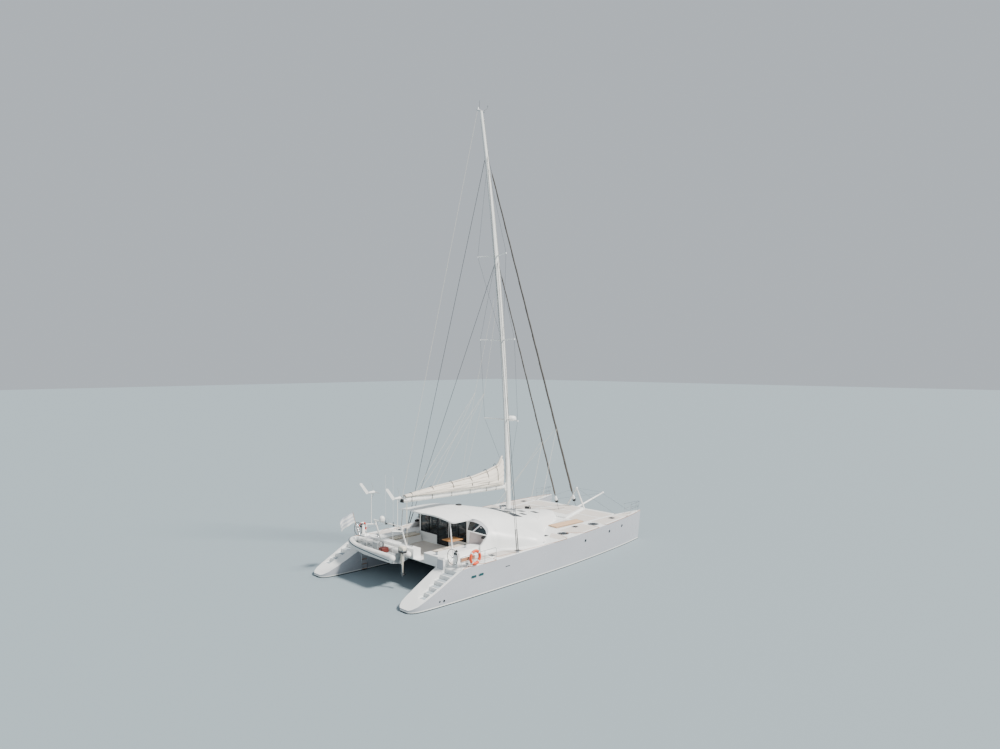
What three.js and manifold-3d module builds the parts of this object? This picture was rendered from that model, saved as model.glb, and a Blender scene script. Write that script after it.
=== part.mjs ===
// A cruising sailing catamaran, 20.7 m over its hulls, floating at its own waterline.
// +X points to the bows, +Y to port and +Z up. Lengths are millimetres. Places along the
// boat are measured forward from the transoms, heights from the waterline, and at the end
// the whole boat moves aft so that its origin lies on the waterline at midship.
import * as THREE from "three";
import { mergeVertices } from "three/addons/utils/BufferGeometryUtils.js";
import Module from "manifold-3d";

const wasm = await Module();
wasm.setup();

// Driving dimensions
const MIDSHIP = 10200;
const HULL_Y = 4070;
const SEAT_GAP = 0.3;
const RUNNING_GAP = 0.6;
const ROUND = 24;
const FLOOR_Z = 1450;
const COAMING_Z = 1950;
const COAMING_IN = 2300;
const AFT_END = 3000;
const ROOF_WALL = 60;
const ROOF_AFT = 6000;
const BEAM_X = 18550;
const BEAM_Z = 1738;
const BEAM_R = 170;
const MAST_FOOT_X = 11600;
const MAST_FOOT_Z = 2700;
const MAST_TOP_Z = 28070;
const GOOSENECK_X = 11270;
const BOOM_AFT = 2940;
const SHROUD_X = 7200;
const SHROUD_Y = 4940;
const CAP_Z = 25300;
const LOWER_Z = 18800;

// Hull stations: x, half beam at the waterline, half beam at the deck, deck height,
// height of the keel line, and how far the deck lies forward of the waterline
const STERN_STATIONS = [
  [0, 300, 320, 170, -50, 0],
  [120, 460, 490, 225, -80, 0],
  [350, 590, 640, 330, -120, 0],
  [700, 660, 715, 490, -190, 0],
  [1500, 730, 800, 860, -300, 0],
  [2950, 800, 890, 1580, -450, 0],
];
const BODY_STATIONS = [
  [3100, 805, 895, 1640, -465, 0],
  [5500, 850, 930, 1660, -610, 0],
  [8500, 850, 940, 1690, -700, 0],
  [11500, 810, 930, 1740, -700, 0],
  [14000, 690, 860, 1800, -640, 0],
  [16500, 500, 700, 1870, -540, 0],
  [18500, 290, 480, 1915, -420, 20],
  [19700, 120, 260, 1942, -300, 120],
  [20360, 20, 60, 1955, -160, 300],
];

// Coachroof stations: x, half width at the deck, half width and height of the shoulder,
// and height of the roof on the centreline
const ROOF_STATIONS = [
  [6000, 3250, 2560, 3400, 3720],
  [7000, 3480, 2600, 3310, 3660],
  [8200, 4150, 2600, 3100, 3420],
  [9540, 4830, 2480, 2830, 3110],
  [11000, 3600, 2230, 2560, 2800],
  [12000, 2720, 1980, 2410, 2630],
  [13000, 2130, 1640, 2290, 2480],
  [14000, 1730, 1300, 2170, 2340],
  [14800, 1300, 980, 2090, 2230],
  [15400, 850, 620, 2040, 2150],
  [15780, 330, 230, 2000, 2070],
];

// A point of a smooth curve through four even places, part of the way from the second
function curveThrough([before, here, next, after], part) {
  const bend = 2 * before - 5 * here + 4 * next - after;
  const twist = 3 * here - before - 3 * next + after;
  return here + 0.5 * part * (next - before + part * (bend + part * twist));
}

// A list of equal rows with smooth rows put in between each two
function faired(rows, extra) {
  const row = (i) => rows[Math.min(Math.max(i, 0), rows.length - 1)];
  return rows.flatMap((start, i) => {
    const near = [row(i - 1), start, row(i + 1), row(i + 2)];
    const count = i + 1 < rows.length ? extra + 1 : 1;
    return Array.from({ length: count }, (_, k) => start.map((_, column) =>
      curveThrough(near.map((values) => values[column]), k / (extra + 1))));
  });
}

const HULL_ROWS = [...STERN_STATIONS, ...faired(BODY_STATIONS, 2)];
const ROOF_ROWS = faired(ROOF_STATIONS, 2);

// Shape helpers
function outward(positions, index) {
  const [a, b, c] = [new THREE.Vector3(), new THREE.Vector3(), new THREE.Vector3()];
  let volume = 0;
  for (let i = 0; i < index.length; i += 3) {
    a.fromArray(positions, 3 * index[i]);
    b.fromArray(positions, 3 * index[i + 1]);
    c.fromArray(positions, 3 * index[i + 2]);
    volume += a.dot(b.cross(c));
  }
  return volume > 0 ? index : index.slice().reverse();
}

function solidOf(geometry) {
  const bare = geometry.clone();
  bare.deleteAttribute("normal");
  bare.deleteAttribute("uv");
  const merged = mergeVertices(bare, 0.001);
  const vertProperties = Float32Array.from(merged.attributes.position.array);
  const triVerts = Uint32Array.from(outward(vertProperties, Array.from(merged.index.array)));
  return new wasm.Manifold(new wasm.Mesh({ numProp: 3, vertProperties, triVerts }));
}

function geometryOf(solid) {
  const mesh = solid.getMesh();
  const geometry = new THREE.BufferGeometry();
  geometry.setAttribute("position", new THREE.BufferAttribute(mesh.vertProperties, 3));
  geometry.setIndex(new THREE.BufferAttribute(mesh.triVerts, 1));
  geometry.computeVertexNormals();
  return geometry;
}

function join(first, ...others) {
  return others.reduce((whole, other) => whole.add(other), first);
}

function cut(first, ...others) {
  return others.reduce((whole, other) => whole.subtract(other), first);
}

// Rings of equal length, each a list of [x, y, z], become one skin with a fan over each end
function loft(rings) {
  const count = rings[0].length;
  const centres = [rings[0], rings[rings.length - 1]].map((ring) =>
    [0, 1, 2].map((axis) => ring.reduce((sum, point) => sum + point[axis], 0) / count));
  const positions = [...rings.flat(2), ...centres.flat()];
  const first = rings.length * count;
  const index = [];
  for (let i = 0; i < count; i++) {
    const next = (i + 1) % count;
    for (let ring = 0; ring + 1 < rings.length; ring++) {
      const [here, there] = [ring * count, (ring + 1) * count];
      index.push(here + i, here + next, there + next, here + i, there + next, there + i);
    }
    const last = (rings.length - 1) * count;
    index.push(first, next, i, first + 1, last + i, last + next);
  }
  const geometry = new THREE.BufferGeometry();
  geometry.setAttribute("position", new THREE.Float32BufferAttribute(positions, 3));
  geometry.setIndex(index);
  return solidOf(geometry);
}

function box(xs, ys, zs) {
  const [x, y, z] = [xs, ys, zs].map((pair) => (pair[0] + pair[1]) / 2);
  const sizes = [xs, ys, zs].map((pair) => Math.abs(pair[1] - pair[0]));
  return solidOf(new THREE.BoxGeometry(...sizes).translate(x, y, z));
}

// A round bar from one point to another, which may taper
function bar(from, to, radius, endRadius = radius, sides = 8) {
  const [start, end] = [new THREE.Vector3(...from), new THREE.Vector3(...to)];
  const along = end.clone().sub(start);
  const geometry = new THREE.CylinderGeometry(endRadius, radius, along.length(), sides);
  const up = new THREE.Vector3(0, 1, 0);
  geometry.applyQuaternion(new THREE.Quaternion().setFromUnitVectors(up, along.normalize()));
  const middle = start.add(end).multiplyScalar(0.5);
  return solidOf(geometry.translate(middle.x, middle.y, middle.z));
}

function ball([x, y, z], radius, [sx, sy, sz] = [1, 1, 1]) {
  return solidOf(new THREE.SphereGeometry(radius, 10, 8).scale(sx, sy, sz).translate(x, y, z));
}

const moved = (solid, x, y, z) => solidOf(geometryOf(solid).translate(x, y, z));

// Tubes through a list of points, with a ball at each bend
function tubing(points, radius, sides = 8) {
  const bars = points.slice(1).map((point, i) => bar(points[i], point, radius, radius, sides));
  const bends = points.slice(1, -1).map((point) => ball(point, radius * 1.05));
  return join(...bars, ...bends);
}

// An outline of [x, z] points, carried across the boat between two places
function sideProfile(outline, ys) {
  const shape = new THREE.Shape(outline.map(([x, z]) => new THREE.Vector2(x, z)));
  const depth = Math.abs(ys[1] - ys[0]);
  const geometry = new THREE.ExtrudeGeometry(shape, { depth, bevelEnabled: false });
  return solidOf(geometry.rotateX(Math.PI / 2).translate(0, Math.max(...ys), 0));
}

// An outline of [x, y] points, carried up between two heights
function plan(outline, zs) {
  const shape = new THREE.Shape(outline.map(([x, y]) => new THREE.Vector2(x, y)));
  const geometry = new THREE.ExtrudeGeometry(shape, { depth: zs[1] - zs[0], bevelEnabled: false });
  return solidOf(geometry.translate(0, 0, zs[0]));
}

function ellipse(x, y, halfX, halfY, z, count = 10) {
  return Array.from({ length: count }, (_, i) => {
    const turn = (2 * Math.PI * i) / count;
    return [x + halfX * Math.cos(turn), y + halfY * Math.sin(turn), z];
  });
}

// A value read between the rows of a station table
function between(table, x, column) {
  const row = table.findIndex((station) => station[0] >= x);
  if (row <= 0) return table[row === 0 ? 0 : table.length - 1][column];
  const [low, high] = [table[row - 1], table[row]];
  return low[column] + ((x - low[0]) / (high[0] - low[0])) * (high[column] - low[column]);
}

const deckHeight = (x) => between(HULL_ROWS, x, 3);
const deckLine = (low, high) => [low, ...HULL_ROWS.map((row) => row[0])
  .filter((x) => x > low && x < high), high].map((x) => [x, deckHeight(x)]);

const boat = new THREE.Group();
boat.position.x = -MIDSHIP;
const SIDES = [["port", 1], ["starboard", -1]];

const paint = (color, roughness = 0.4, metalness = 0) =>
  new THREE.MeshStandardMaterial({ color, roughness, metalness });
const gelcoat = paint("#e4e6e2", 0.35);
const topside = paint("#b9bcc0", 0.3);
const antifouling = paint("#2b3138", 0.8);
const alloy = paint("#ecebe4", 0.4, 0.1);
const steel = paint("#c8ccd0", 0.25, 0.9);
const bronze = paint("#a98d58", 0.35, 0.9);
const glass = paint("#14181c", 0.1);
const canvas = paint("#e3dacf", 0.9);
const darkCanvas = paint("#4a443f", 0.9);
const blackPlastic = paint("#1c1d1f", 0.6);
const cream = paint("#e2ddcd", 0.5);
const teak = paint("#b98a58", 0.7);

function add(name, solid, material) {
  const mesh = new THREE.Mesh(geometryOf(solid), material);
  mesh.name = name;
  boat.add(mesh);
}

// Hulls: decked, with boarding steps let into the sloping stern and an engine room aft
const BILGE_STEPS = 4;
const MID_TOPSIDE = 0.62;
const STEP = { first: 800, run: 410, count: 5, inboard: 80, flare: 70, edge: 150 };
const ENGINE_ROOM = { aft: 4250, fore: 5650, half: 500, floor: -100 };
const RUDDER_X = 1250;
const BOSS_Z = -360;
const SHAFT_Z = -850;
const SCREW_X = 3660;
const HATCHES = [["aft", 12250], ["fore", 15300]];
const HATCH = { ledge: 25, recess: 300, well: 240, depth: 500, lid: 292, thick: 30 };

function hullRing([x, water, deck, top, keel, rake], centre) {
  const half = [];
  for (let step = 0; step <= BILGE_STEPS; step++) {
    const turn = ((step / BILGE_STEPS) * Math.PI) / 2;
    half.push([water * Math.sin(turn), keel * Math.cos(turn)]);
  }
  half.push([water + MID_TOPSIDE * (deck - water), top / 2], [deck, top]);
  const place = (y, z) => [x + (rake * Math.max(z, 0)) / top, centre + y, z];
  const smooth = faired(half, 1);
  const outer = smooth.map(([y, z]) => place(y, z));
  const inner = smooth.slice(1).reverse().map(([y, z]) => place(-y, z));
  return [...outer, ...inner];
}

const plainHull = (side, dy = 0, dz = 0) => loft(HULL_ROWS.map((station) =>
  hullRing(station, side * HULL_Y + dy).map(([x, y, z]) => [x, y, z + dz])));

function sternSteps(side) {
  return Array.from({ length: STEP.count }, (_, i) => {
    const x = STEP.first + i * STEP.run;
    const outer = HULL_Y + between(HULL_ROWS, x, 2) - STEP.edge;
    const inner = HULL_Y + STEP.inboard - i * STEP.flare;
    return box([x, x + STEP.run], [side * inner, side * outer],
      [deckHeight(x), 2200]);
  });
}

function hatchWells(side) {
  return HATCHES.flatMap(([, x]) => {
    const ledge = deckHeight(x) - HATCH.ledge;
    const y = side * HULL_Y;
    return [
      bar([x, y, ledge], [x, y, ledge + 200], HATCH.recess, HATCH.recess, 20),
      bar([x, y, ledge - HATCH.depth], [x, y, ledge + 10], HATCH.well, HATCH.well, 20),
    ];
  });
}

// The helm seat is moulded into the inboard side at the top of the steps
function helmSeat(side) {
  const ring = (z, inset) => {
    const [x0, x1] = [2720 + inset, 3180 - inset];
    const [y0, y1] = [side * (3330 + inset), side * (3860 - inset)];
    return [[x0, y0, z], [x1, y0, z], [x1, y1, z], [x0, y1, z]];
  };
  return loft([ring(1300, 0), ring(1960, 30), ring(2050, 110)]);
}

function driveLeg(side) {
  const y = side * HULL_Y;
  return join(
    loft([ellipse(4120, y, 190, 45, -450), ellipse(4080, y, 150, 38, SHAFT_Z)]),
    bar([SCREW_X + 75 + RUNNING_GAP, y, SHAFT_Z], [4330, y, SHAFT_Z], 62, 40, 10),
  );
}

function hull(side) {
  const y = side * HULL_Y;
  const room = box([ENGINE_ROOM.aft, ENGINE_ROOM.fore],
    [y - ENGINE_ROOM.half, y + ENGINE_ROOM.half], [ENGINE_ROOM.floor, 2200]);
  const shell = cut(plainHull(side), ...sternSteps(side), room, ...hatchWells(side));
  const boss = bar([RUDDER_X, y, -200], [RUDDER_X, y, BOSS_Z], 75);
  return join(shell, helmSeat(side), driveLeg(side), boss);
}

// Stub keel with a flat sole, seated against the hull bottom
const KEEL = { x: 10100, halfTop: 1700, halfSole: 1300, thick: 180, thin: 120, sole: -1550 };

function keel(side) {
  const y = side * HULL_Y;
  const fin = loft([
    ellipse(KEEL.x, y, KEEL.halfTop, KEEL.thick, -560, 14),
    ellipse(KEEL.x - 100, y, KEEL.halfSole, KEEL.thin, KEEL.sole, 14),
  ]);
  return cut(fin, plainHull(side, 0, -SEAT_GAP));
}

// Balanced spade rudder on a vertical stock
const RUDDER = { top: -400, foot: -1430, stock: 40 };

function rudder(side) {
  const y = side * HULL_Y;
  return join(
    loft([
      ellipse(RUDDER_X - 185, y, 375, 50, RUDDER.top, 12),
      ellipse(RUDDER_X - 130, y, 290, 32, RUDDER.foot, 12),
    ]),
    bar([RUDDER_X, y, RUDDER.top - 60], [RUDDER_X, y, BOSS_Z - SEAT_GAP], RUDDER.stock),
  );
}

// A screw with its hub along one axis: blades are flattened, twisted ovals round the hub
function screw({ at, hubRadius, hubLength, bladeLength, bladeWidth, pitch, blades, axis }) {
  const turnTo = new THREE.Quaternion().setFromUnitVectors(
    new THREE.Vector3(1, 0, 0), new THREE.Vector3(...axis));
  const pieces = [new THREE.CylinderGeometry(hubRadius, hubRadius, hubLength, 10)
    .rotateZ(Math.PI / 2)];
  for (let i = 0; i < blades; i++) {
    const blade = new THREE.SphereGeometry(1, 8, 6);
    blade.scale(0.07 * bladeWidth, bladeWidth / 2, bladeLength / 2).rotateZ(pitch);
    blade.translate(0, 0, hubRadius * 0.6 + bladeLength / 2);
    pieces.push(blade.rotateX((2 * Math.PI * i) / blades));
  }
  return join(...pieces.map((piece) =>
    solidOf(piece.applyQuaternion(turnTo).translate(...at))));
}

const propeller = (side) => screw({
  at: [SCREW_X, side * HULL_Y, SHAFT_Z], hubRadius: 48, hubLength: 150,
  bladeLength: 200, bladeWidth: 150, pitch: 0.6, blades: 3, axis: [1, 0, 0],
});

function engine(side) {
  const y = side * HULL_Y;
  return box([4400, 5500], [y - 320, y + 320], [ENGINE_ROOM.floor + SEAT_GAP, 650]);
}

function engineHatch(side) {
  const [aft, fore, thick] = [ENGINE_ROOM.aft - 50, ENGINE_ROOM.fore + 50, 45];
  const low = deckLine(aft, fore).map(([x, z]) => [x, z + SEAT_GAP]);
  const high = low.map(([x, z]) => [x, z + thick]).reverse();
  const y = side * HULL_Y;
  return sideProfile([...low, ...high],
    [y - ENGINE_ROOM.half - 50, y + ENGINE_ROOM.half + 50]);
}

function hatchLid(side, x) {
  const low = deckHeight(x) - HATCH.ledge + SEAT_GAP;
  const y = side * HULL_Y;
  return bar([x, y, low], [x, y, low + HATCH.thick], HATCH.lid, HATCH.lid, 20);
}

for (const [name, side] of SIDES) {
  add(`hull_${name}`, hull(side), topside);
  add(`keel_${name}`, keel(side), antifouling);
  add(`rudder_${name}`, rudder(side), antifouling);
  add(`propeller_${name}`, propeller(side), bronze);
  add(`engine_${name}`, engine(side), blackPlastic);
  add(`engine_hatch_${name}`, engineHatch(side), gelcoat);
  for (const [place, x] of HATCHES) {
    add(`hull_hatch_${place}_${name}`, hatchLid(side, x), glass);
  }
}

// Coachroof: one moulded shell over the saloon, swept out to the side decks
function roofRing([x, base, shoulder, shoulderZ, roof], inset, baseZ, drop) {
  const half = [
    [base - inset, baseZ],
    [base - inset - 0.12 * (base - shoulder), baseZ + 0.42 * (shoulderZ - baseZ)],
    [shoulder - inset + 0.22 * (base - shoulder), baseZ + 0.8 * (shoulderZ - baseZ)],
    [shoulder - inset, shoulderZ - drop],
    [0.72 * shoulder, shoulderZ + 0.62 * (roof - shoulderZ) - drop],
    [0.36 * shoulder, shoulderZ + 0.92 * (roof - shoulderZ) - drop],
  ];
  const port = half.map(([y, z]) => [x, y, z]);
  const starboard = half.slice().reverse().map(([y, z]) => [x, -y, z]);
  return faired([...port, [x, 0, roof - drop], ...starboard], 1);
}

const roofOuter = () => loft(ROOF_ROWS.map((row) =>
  roofRing(row, 0, deckHeight(row[0]) + SEAT_GAP, 0)));

// The space under the shell, carried down past the deck and aft past the bulkhead
function roofCavity(inset, bottom) {
  const inner = ROOF_ROWS.slice(0, -3).map((row) => roofRing(row, inset, bottom, inset));
  const aft = inner[0].map(([x, y, z]) => [x - 50, y, z]);
  return loft([aft, ...inner]);
}

const CAVITY_BASE = 1300;
const WINDSCREEN = { aft: 9950, fore: 10850, half: 2000 };
const windscreenHole = (grow) => box([WINDSCREEN.aft - grow, WINDSCREEN.fore + grow],
  [-WINDSCREEN.half - grow, WINDSCREEN.half + grow], [2200, 3900]);

// The cockpit opening sweeps up and forward from the deck, and back over in one curve
function cockpitCutaway() {
  const outline = new THREE.Shape();
  outline.moveTo(5900, 1960);
  outline.lineTo(6060, 2010);
  outline.lineTo(6700, 2590);
  outline.quadraticCurveTo(6960, 2830, 6660, 3115);
  outline.quadraticCurveTo(6380, 3370, 5900, 3430);
  return sideProfile(outline.getPoints(6).map(({ x, y }) => [x, y]), [-5000, 5000]);
}

const roof = roofOuter();
add("coachroof",
  cut(roof, roofCavity(ROOF_WALL, CAVITY_BASE), windscreenHole(0), cockpitCutaway()), gelcoat);
add("windscreen",
  cut(roof, roofCavity(12, CAVITY_BASE)).intersect(windscreenHole(-SEAT_GAP)), glass);
const onRoof = moved(roof, 0, 0, SEAT_GAP);

// Bridge deck: floor of saloon and cockpit, side and aft coamings, benches and foredeck
const foredeckEnd = BEAM_X - BEAM_R - SEAT_GAP;
const PLINTH = { aft: 15300, aftHalf: 1760, foreHalf: 850, high: 85, corner: 60 };

// A low raised panel on the foredeck, cut round the nose of the coachroof
function plinth() {
  const { aft, aftHalf, foreHalf, high, corner } = PLINTH;
  const fore = foredeckEnd - 20;
  const edge = [[aft, aftHalf - corner], [aft + corner, aftHalf], [fore, foreHalf]];
  const outline = [...edge, ...edge.slice().reverse().map(([x, y]) => [x, -y])];
  const low = deckLine(aft, fore).map(([x, z]) => [x, z - high]);
  const top = low.map(([x, z]) => [x, z + 2 * high]).reverse();
  const nose = ROOF_ROWS.filter(([x]) => x > aft - 400).map(([x, base]) => [x + 1, base + 1]);
  const around = [...nose, ...nose.slice().reverse().map(([x, y]) => [x, -y])];
  return cut(sideProfile([...low, ...top], [-2000, 2000]).intersect(plan(outline, [1500, 2500])),
    plan(around, [1500, 2500]));
}

function bridgedeck() {
  const body = join(sideProfile([
    [AFT_END, 1400], [4400, 930], [13500, 900], [foredeckEnd, 1480],
    ...deckLine(AFT_END, foredeckEnd).reverse(),
  ], [-HULL_Y, HULL_Y]), plinth());
  const coaming = box([AFT_END, 6950], [-3120, 3120], [1500, COAMING_Z]);
  const well = box([3500, 7600], [-COAMING_IN, COAMING_IN], [FLOOR_Z, 2400]);
  const gangway = box([2900, 3600], [-1900, -1000], [FLOOR_Z, 2400]);
  const saloon = cut(roofCavity(ROOF_WALL + 150, FLOOR_Z), box([5000, 6700], [-3500, 3500],
    [1000, 4200])).intersect(box([6700, 13400], [-2950, 2950], [FLOOR_Z, 4200]));
  const bench = (side) => box([3700, 5700], [side * 1700, side * (COAMING_IN + 20)],
    [FLOOR_Z - 50, FLOOR_Z + 380]);
  const cored = join(cut(join(body, coaming), well, gangway, saloon), bench(1), bench(-1));
  const hulls = SIDES.flatMap(([, side]) => [0, 3].map((up) =>
    plainHull(side, -side * SEAT_GAP, up)));
  return cut(cored, ...hulls);
}

const bridge = bridgedeck();
const onBridge = moved(bridge, 0, 0, SEAT_GAP);
add("bridgedeck", bridge, gelcoat);

// Saloon bulkhead: flat amidships, with two quarters that run forward to the shell
const BULKHEAD = { thick: 60, bend: 2200, reachX: 7000, reachY: 3300 };
const TRACK_Z = 3400;

function bulkheadWall(low, high) {
  const { thick, bend, reachX, reachY } = BULKHEAD;
  const line = [[reachX, -reachY], [ROOF_AFT, -bend], [ROOF_AFT, bend], [reachX, reachY]];
  const front = line.slice().reverse().map(([x, y]) => [x + thick, y]);
  return plan([...line, ...front], [low, high]);
}

// Panes in the quarters lie either side of a leaning mullion
function quarterPanes(side) {
  const outlines = [
    [[6080, 3200], [6310, 3040], [6160, 2740], [6080, 2745]],
    [[6400, 2930], [6560, 2700], [6560, 2480], [6220, 2590]],
  ];
  return outlines.map((outline) => sideProfile(outline, [side * 2150, side * 3500]));
}

function bulkhead() {
  const wall = bulkheadWall(FLOOR_Z + SEAT_GAP, 4000)
    .intersect(roofCavity(ROOF_WALL + SEAT_GAP, CAVITY_BASE));
  const doorway = box([5900, 6100], [-450, 450], [FLOOR_Z, 3350]);
  const windows = SIDES.map(([, side]) =>
    box([5900, 6100], [side * 560, side * 2080], [1960, 3270]));
  const ledges = SIDES.flatMap(([, side]) => [
    box([5900, 7100], [side * COAMING_IN, side * 3130], [1300, COAMING_Z + SEAT_GAP]),
    box([5900, 7100], [side * 3120, side * 3600], [1300, deckHeight(BULKHEAD.reachX) + 1]),
  ]);
  const pierced = cut(wall, doorway, ...windows, ...quarterPanes(1), ...quarterPanes(-1),
    ...ledges);
  return join(pierced, box([5930, ROOF_AFT + 10], [-600, 1600], [TRACK_Z, TRACK_Z + 60]));
}

add("saloon_bulkhead", bulkhead(), gelcoat);
add("saloon_door", cut(box([5950, 5994], [-500, 500], [FLOOR_Z + 6, TRACK_Z - 0.5]),
  box([5900, 6050], [-410, 410], [FLOOR_Z + 120, TRACK_Z - 110])), steel);

// Hardtop over the cockpit: an arched panel trimmed to its outline, on two leaning posts
const HARDTOP = { half: 2500, edge: 3430, crown: 3715, thick: 80, postX: 4660 };

function arch(edge, crown) {
  const rows = [[1.1, -0.28], [1, 0], [0.86, 0.33], [0.72, 0.6], [0.5, 0.82], [0.25, 0.96]];
  const port = rows.map(([y, rise]) => [y * HARDTOP.half, edge + rise * (crown - edge)]);
  return [...port, [0, crown], ...port.slice().reverse().map(([y, z]) => [-y, z])];
}

function hardtop() {
  const { half, edge, crown, thick, postX } = HARDTOP;
  const front = ROOF_AFT - SEAT_GAP;
  const over = arch(edge, crown);
  const under = arch(edge - thick, crown - thick).reverse();
  const section = new THREE.Shape([...over, ...under].map(([y, z]) => new THREE.Vector2(y, z)));
  const panel = solidOf(new THREE.ExtrudeGeometry(section, { depth: 2500, bevelEnabled: false })
    .rotateX(Math.PI / 2).rotateZ(Math.PI / 2).translate(3700, 0, 0));
  const aft = [[4850, half], [4640, half - 40], [4490, half - 190], [4420, 1900], [4330, 1100],
    [4130, 420], [4080, 0]];
  const outline = [[front, half], ...aft, ...aft.slice(0, -1).reverse().map(([x, y]) => [x, -y]),
    [front, -half]];
  const posts = SIDES.map(([, side]) => bar([postX, side * 2375, COAMING_Z - 60],
    [postX, side * 2150, edge + 60], 32));
  return cut(join(panel.intersect(plan(outline, [3000, 4000])), ...posts), onBridge);
}

add("hardtop", hardtop(), gelcoat);

// Front crossbeam, striker frame and bowsprit
const beam = cut(bar([BEAM_X, -3900, BEAM_Z], [BEAM_X, 3900, BEAM_Z], BEAM_R, BEAM_R, 16),
  plainHull(1, -SEAT_GAP), plainHull(-1, SEAT_GAP));
const onBeam = moved(beam, 0, 0, SEAT_GAP);
const SPRIT_END = [21860, 0, 2470];

function striker() {
  const apex = [18700, 0, 3230];
  const legs = SIDES.map(([, side]) => bar([BEAM_X, side * 860, BEAM_Z], apex, 60, 50));
  return cut(join(...legs, ball(apex, 75)), onBeam);
}

function bowsprit() {
  const pole = bar([18600, 0, 1780], SPRIT_END, 75, 55, 12);
  return cut(join(pole, ball(SPRIT_END, 90)), moved(beam, SEAT_GAP, 0, 0));
}

add("front_crossbeam", beam, alloy);
add("striker_frame", striker(), alloy);
add("bowsprit", bowsprit(), alloy);

// Mast: raked and bent aft, with three pairs of spreaders and the gooseneck pin
const MAST_RINGS = 9;
const MAST_FORE_AFT = 185;
const MAST_ATHWART = 120;
const SPREADERS = [[8600, 1500, 500], [13740, 1540, 480], [19100, 1280, 400]];
const PIN = { low: 4060, high: 4470, radius: 24, sleeve: 62 };

function mastX(z) {
  const up = z - MAST_FOOT_Z;
  return MAST_FOOT_X - 0.019 * up - 0.0031 * (up / 1000) * up;
}

function mastTube() {
  const heights = Array.from({ length: MAST_RINGS }, (_, i) =>
    (i / (MAST_RINGS - 1)) * (MAST_TOP_Z - 2500) + 2500);
  return loft(heights.map((z) => {
    const taper = z > LOWER_Z ? 1 - (0.35 * (z - LOWER_Z)) / (MAST_TOP_Z - LOWER_Z) : 1;
    return ellipse(mastX(z), 0, taper * MAST_FORE_AFT, taper * MAST_ATHWART, z, 16);
  }));
}

function mast() {
  const arms = SPREADERS.flatMap(([z, half, sweep]) => SIDES.map(([, side]) =>
    bar([mastX(z), 0, z], [mastX(z) - sweep, side * half, z + 60], 50, 28, 6)));
  const lugs = [PIN.low - 40, PIN.high].map((z) =>
    box([GOOSENECK_X - 45, mastX(z) - 60], [-45, 45], [z, z + 40]));
  const pin = bar([GOOSENECK_X, 0, PIN.low - 10], [GOOSENECK_X, 0, PIN.high + 10],
    PIN.radius, PIN.radius, ROUND);
  return cut(join(mastTube(), ...arms, ...lugs, pin), onRoof);
}

add("mast", mast(), alloy);

// Boom, with the sleeve that turns on the gooseneck pin
const BOOM = { deep: 280, wide: 110, rise: 250, low: 4170 };
const boomLow = (x) => BOOM.low + (BOOM.rise * (GOOSENECK_X - x)) / (GOOSENECK_X - BOOM_AFT);

function boomRing(x, deep, wide) {
  const low = boomLow(x);
  const half = [[0.35, 0], [0.9, 0.25], [1, 0.6], [0.75, 0.95]];
  const port = half.map(([y, z]) => [x, y * wide, low + z * deep]);
  const starboard = half.slice().reverse().map(([y, z]) => [x, -y * wide, low + z * deep]);
  return [...port, ...starboard];
}

function boom() {
  const spar = loft([
    boomRing(GOOSENECK_X - 90, 240, 70), boomRing(GOOSENECK_X - 500, BOOM.deep, BOOM.wide),
    boomRing(BOOM_AFT + 500, BOOM.deep, BOOM.wide), boomRing(BOOM_AFT, 220, 80),
  ]);
  const sleeve = bar([GOOSENECK_X, 0, PIN.low + 6], [GOOSENECK_X, 0, PIN.high - 6],
    PIN.sleeve, PIN.sleeve, 12);
  const neck = box([GOOSENECK_X - 120, GOOSENECK_X - 30], [-40, 40], [4200, 4380]);
  const bore = bar([GOOSENECK_X, 0, 4000], [GOOSENECK_X, 0, 4550],
    PIN.radius + RUNNING_GAP, PIN.radius + RUNNING_GAP, ROUND);
  return cut(join(spar, neck, sleeve), bore);
}

add("boom", boom(), alloy);

// Mainsail flaked along the boom: x, height of the top above the boom, half width
const SAIL_STACK = [
  [11050, 2050, 90], [10950, 2060, 200], [10550, 1450, 300], [9700, 1130, 330],
  [8500, 850, 330], [7000, 660, 300], [5300, 470, 260], [4000, 260, 200], [3150, 110, 110],
];

function sailStack() {
  return loft(SAIL_STACK.map(([x, high, half]) => {
    const low = boomLow(x) + 0.95 * BOOM.deep + SEAT_GAP;
    const side = [[0.55, 0], [1, 0.3], [0.8, 0.68], [0.3, 0.97]];
    const port = side.map(([y, z]) => [x, y * half, low + z * high]);
    const starboard = side.slice().reverse().map(([y, z]) => [x, -y * half, low + z * high]);
    return [...port, ...starboard];
  }));
}

add("mainsail", sailStack(), canvas);

// Radar dome on a bracket in front of the mast
const RADAR_Z = 8560;

function radarDome() {
  const x = mastX(RADAR_Z) + MAST_FORE_AFT + 350;
  const outline = [[0, 0], [250, 20], [310, 110], [300, 190], [180, 250], [0, 270]];
  const dome = new THREE.LatheGeometry(outline.map(([r, z]) => new THREE.Vector2(r, z)), 14)
    .rotateX(Math.PI / 2).translate(x, 0, RADAR_Z);
  const bracket = box([mastX(RADAR_Z), x], [-60, 60], [RADAR_Z - 60, RADAR_Z + 30]);
  return cut(join(solidOf(dome), bracket), moved(mastTube(), SEAT_GAP, 0, 0));
}

add("radar_dome", radarDome(), gelcoat);

// Headsails furled round their stays, each with its drum, from the deck to the mast
const FURLED = [
  { name: "outer_headsail", foot: [18600, 0, 1900], drum: 2470, roll: 75, top: CAP_Z },
  { name: "inner_headsail", foot: [16740, 0, 1800], drum: 2650, roll: 60, top: LOWER_Z },
];

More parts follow.
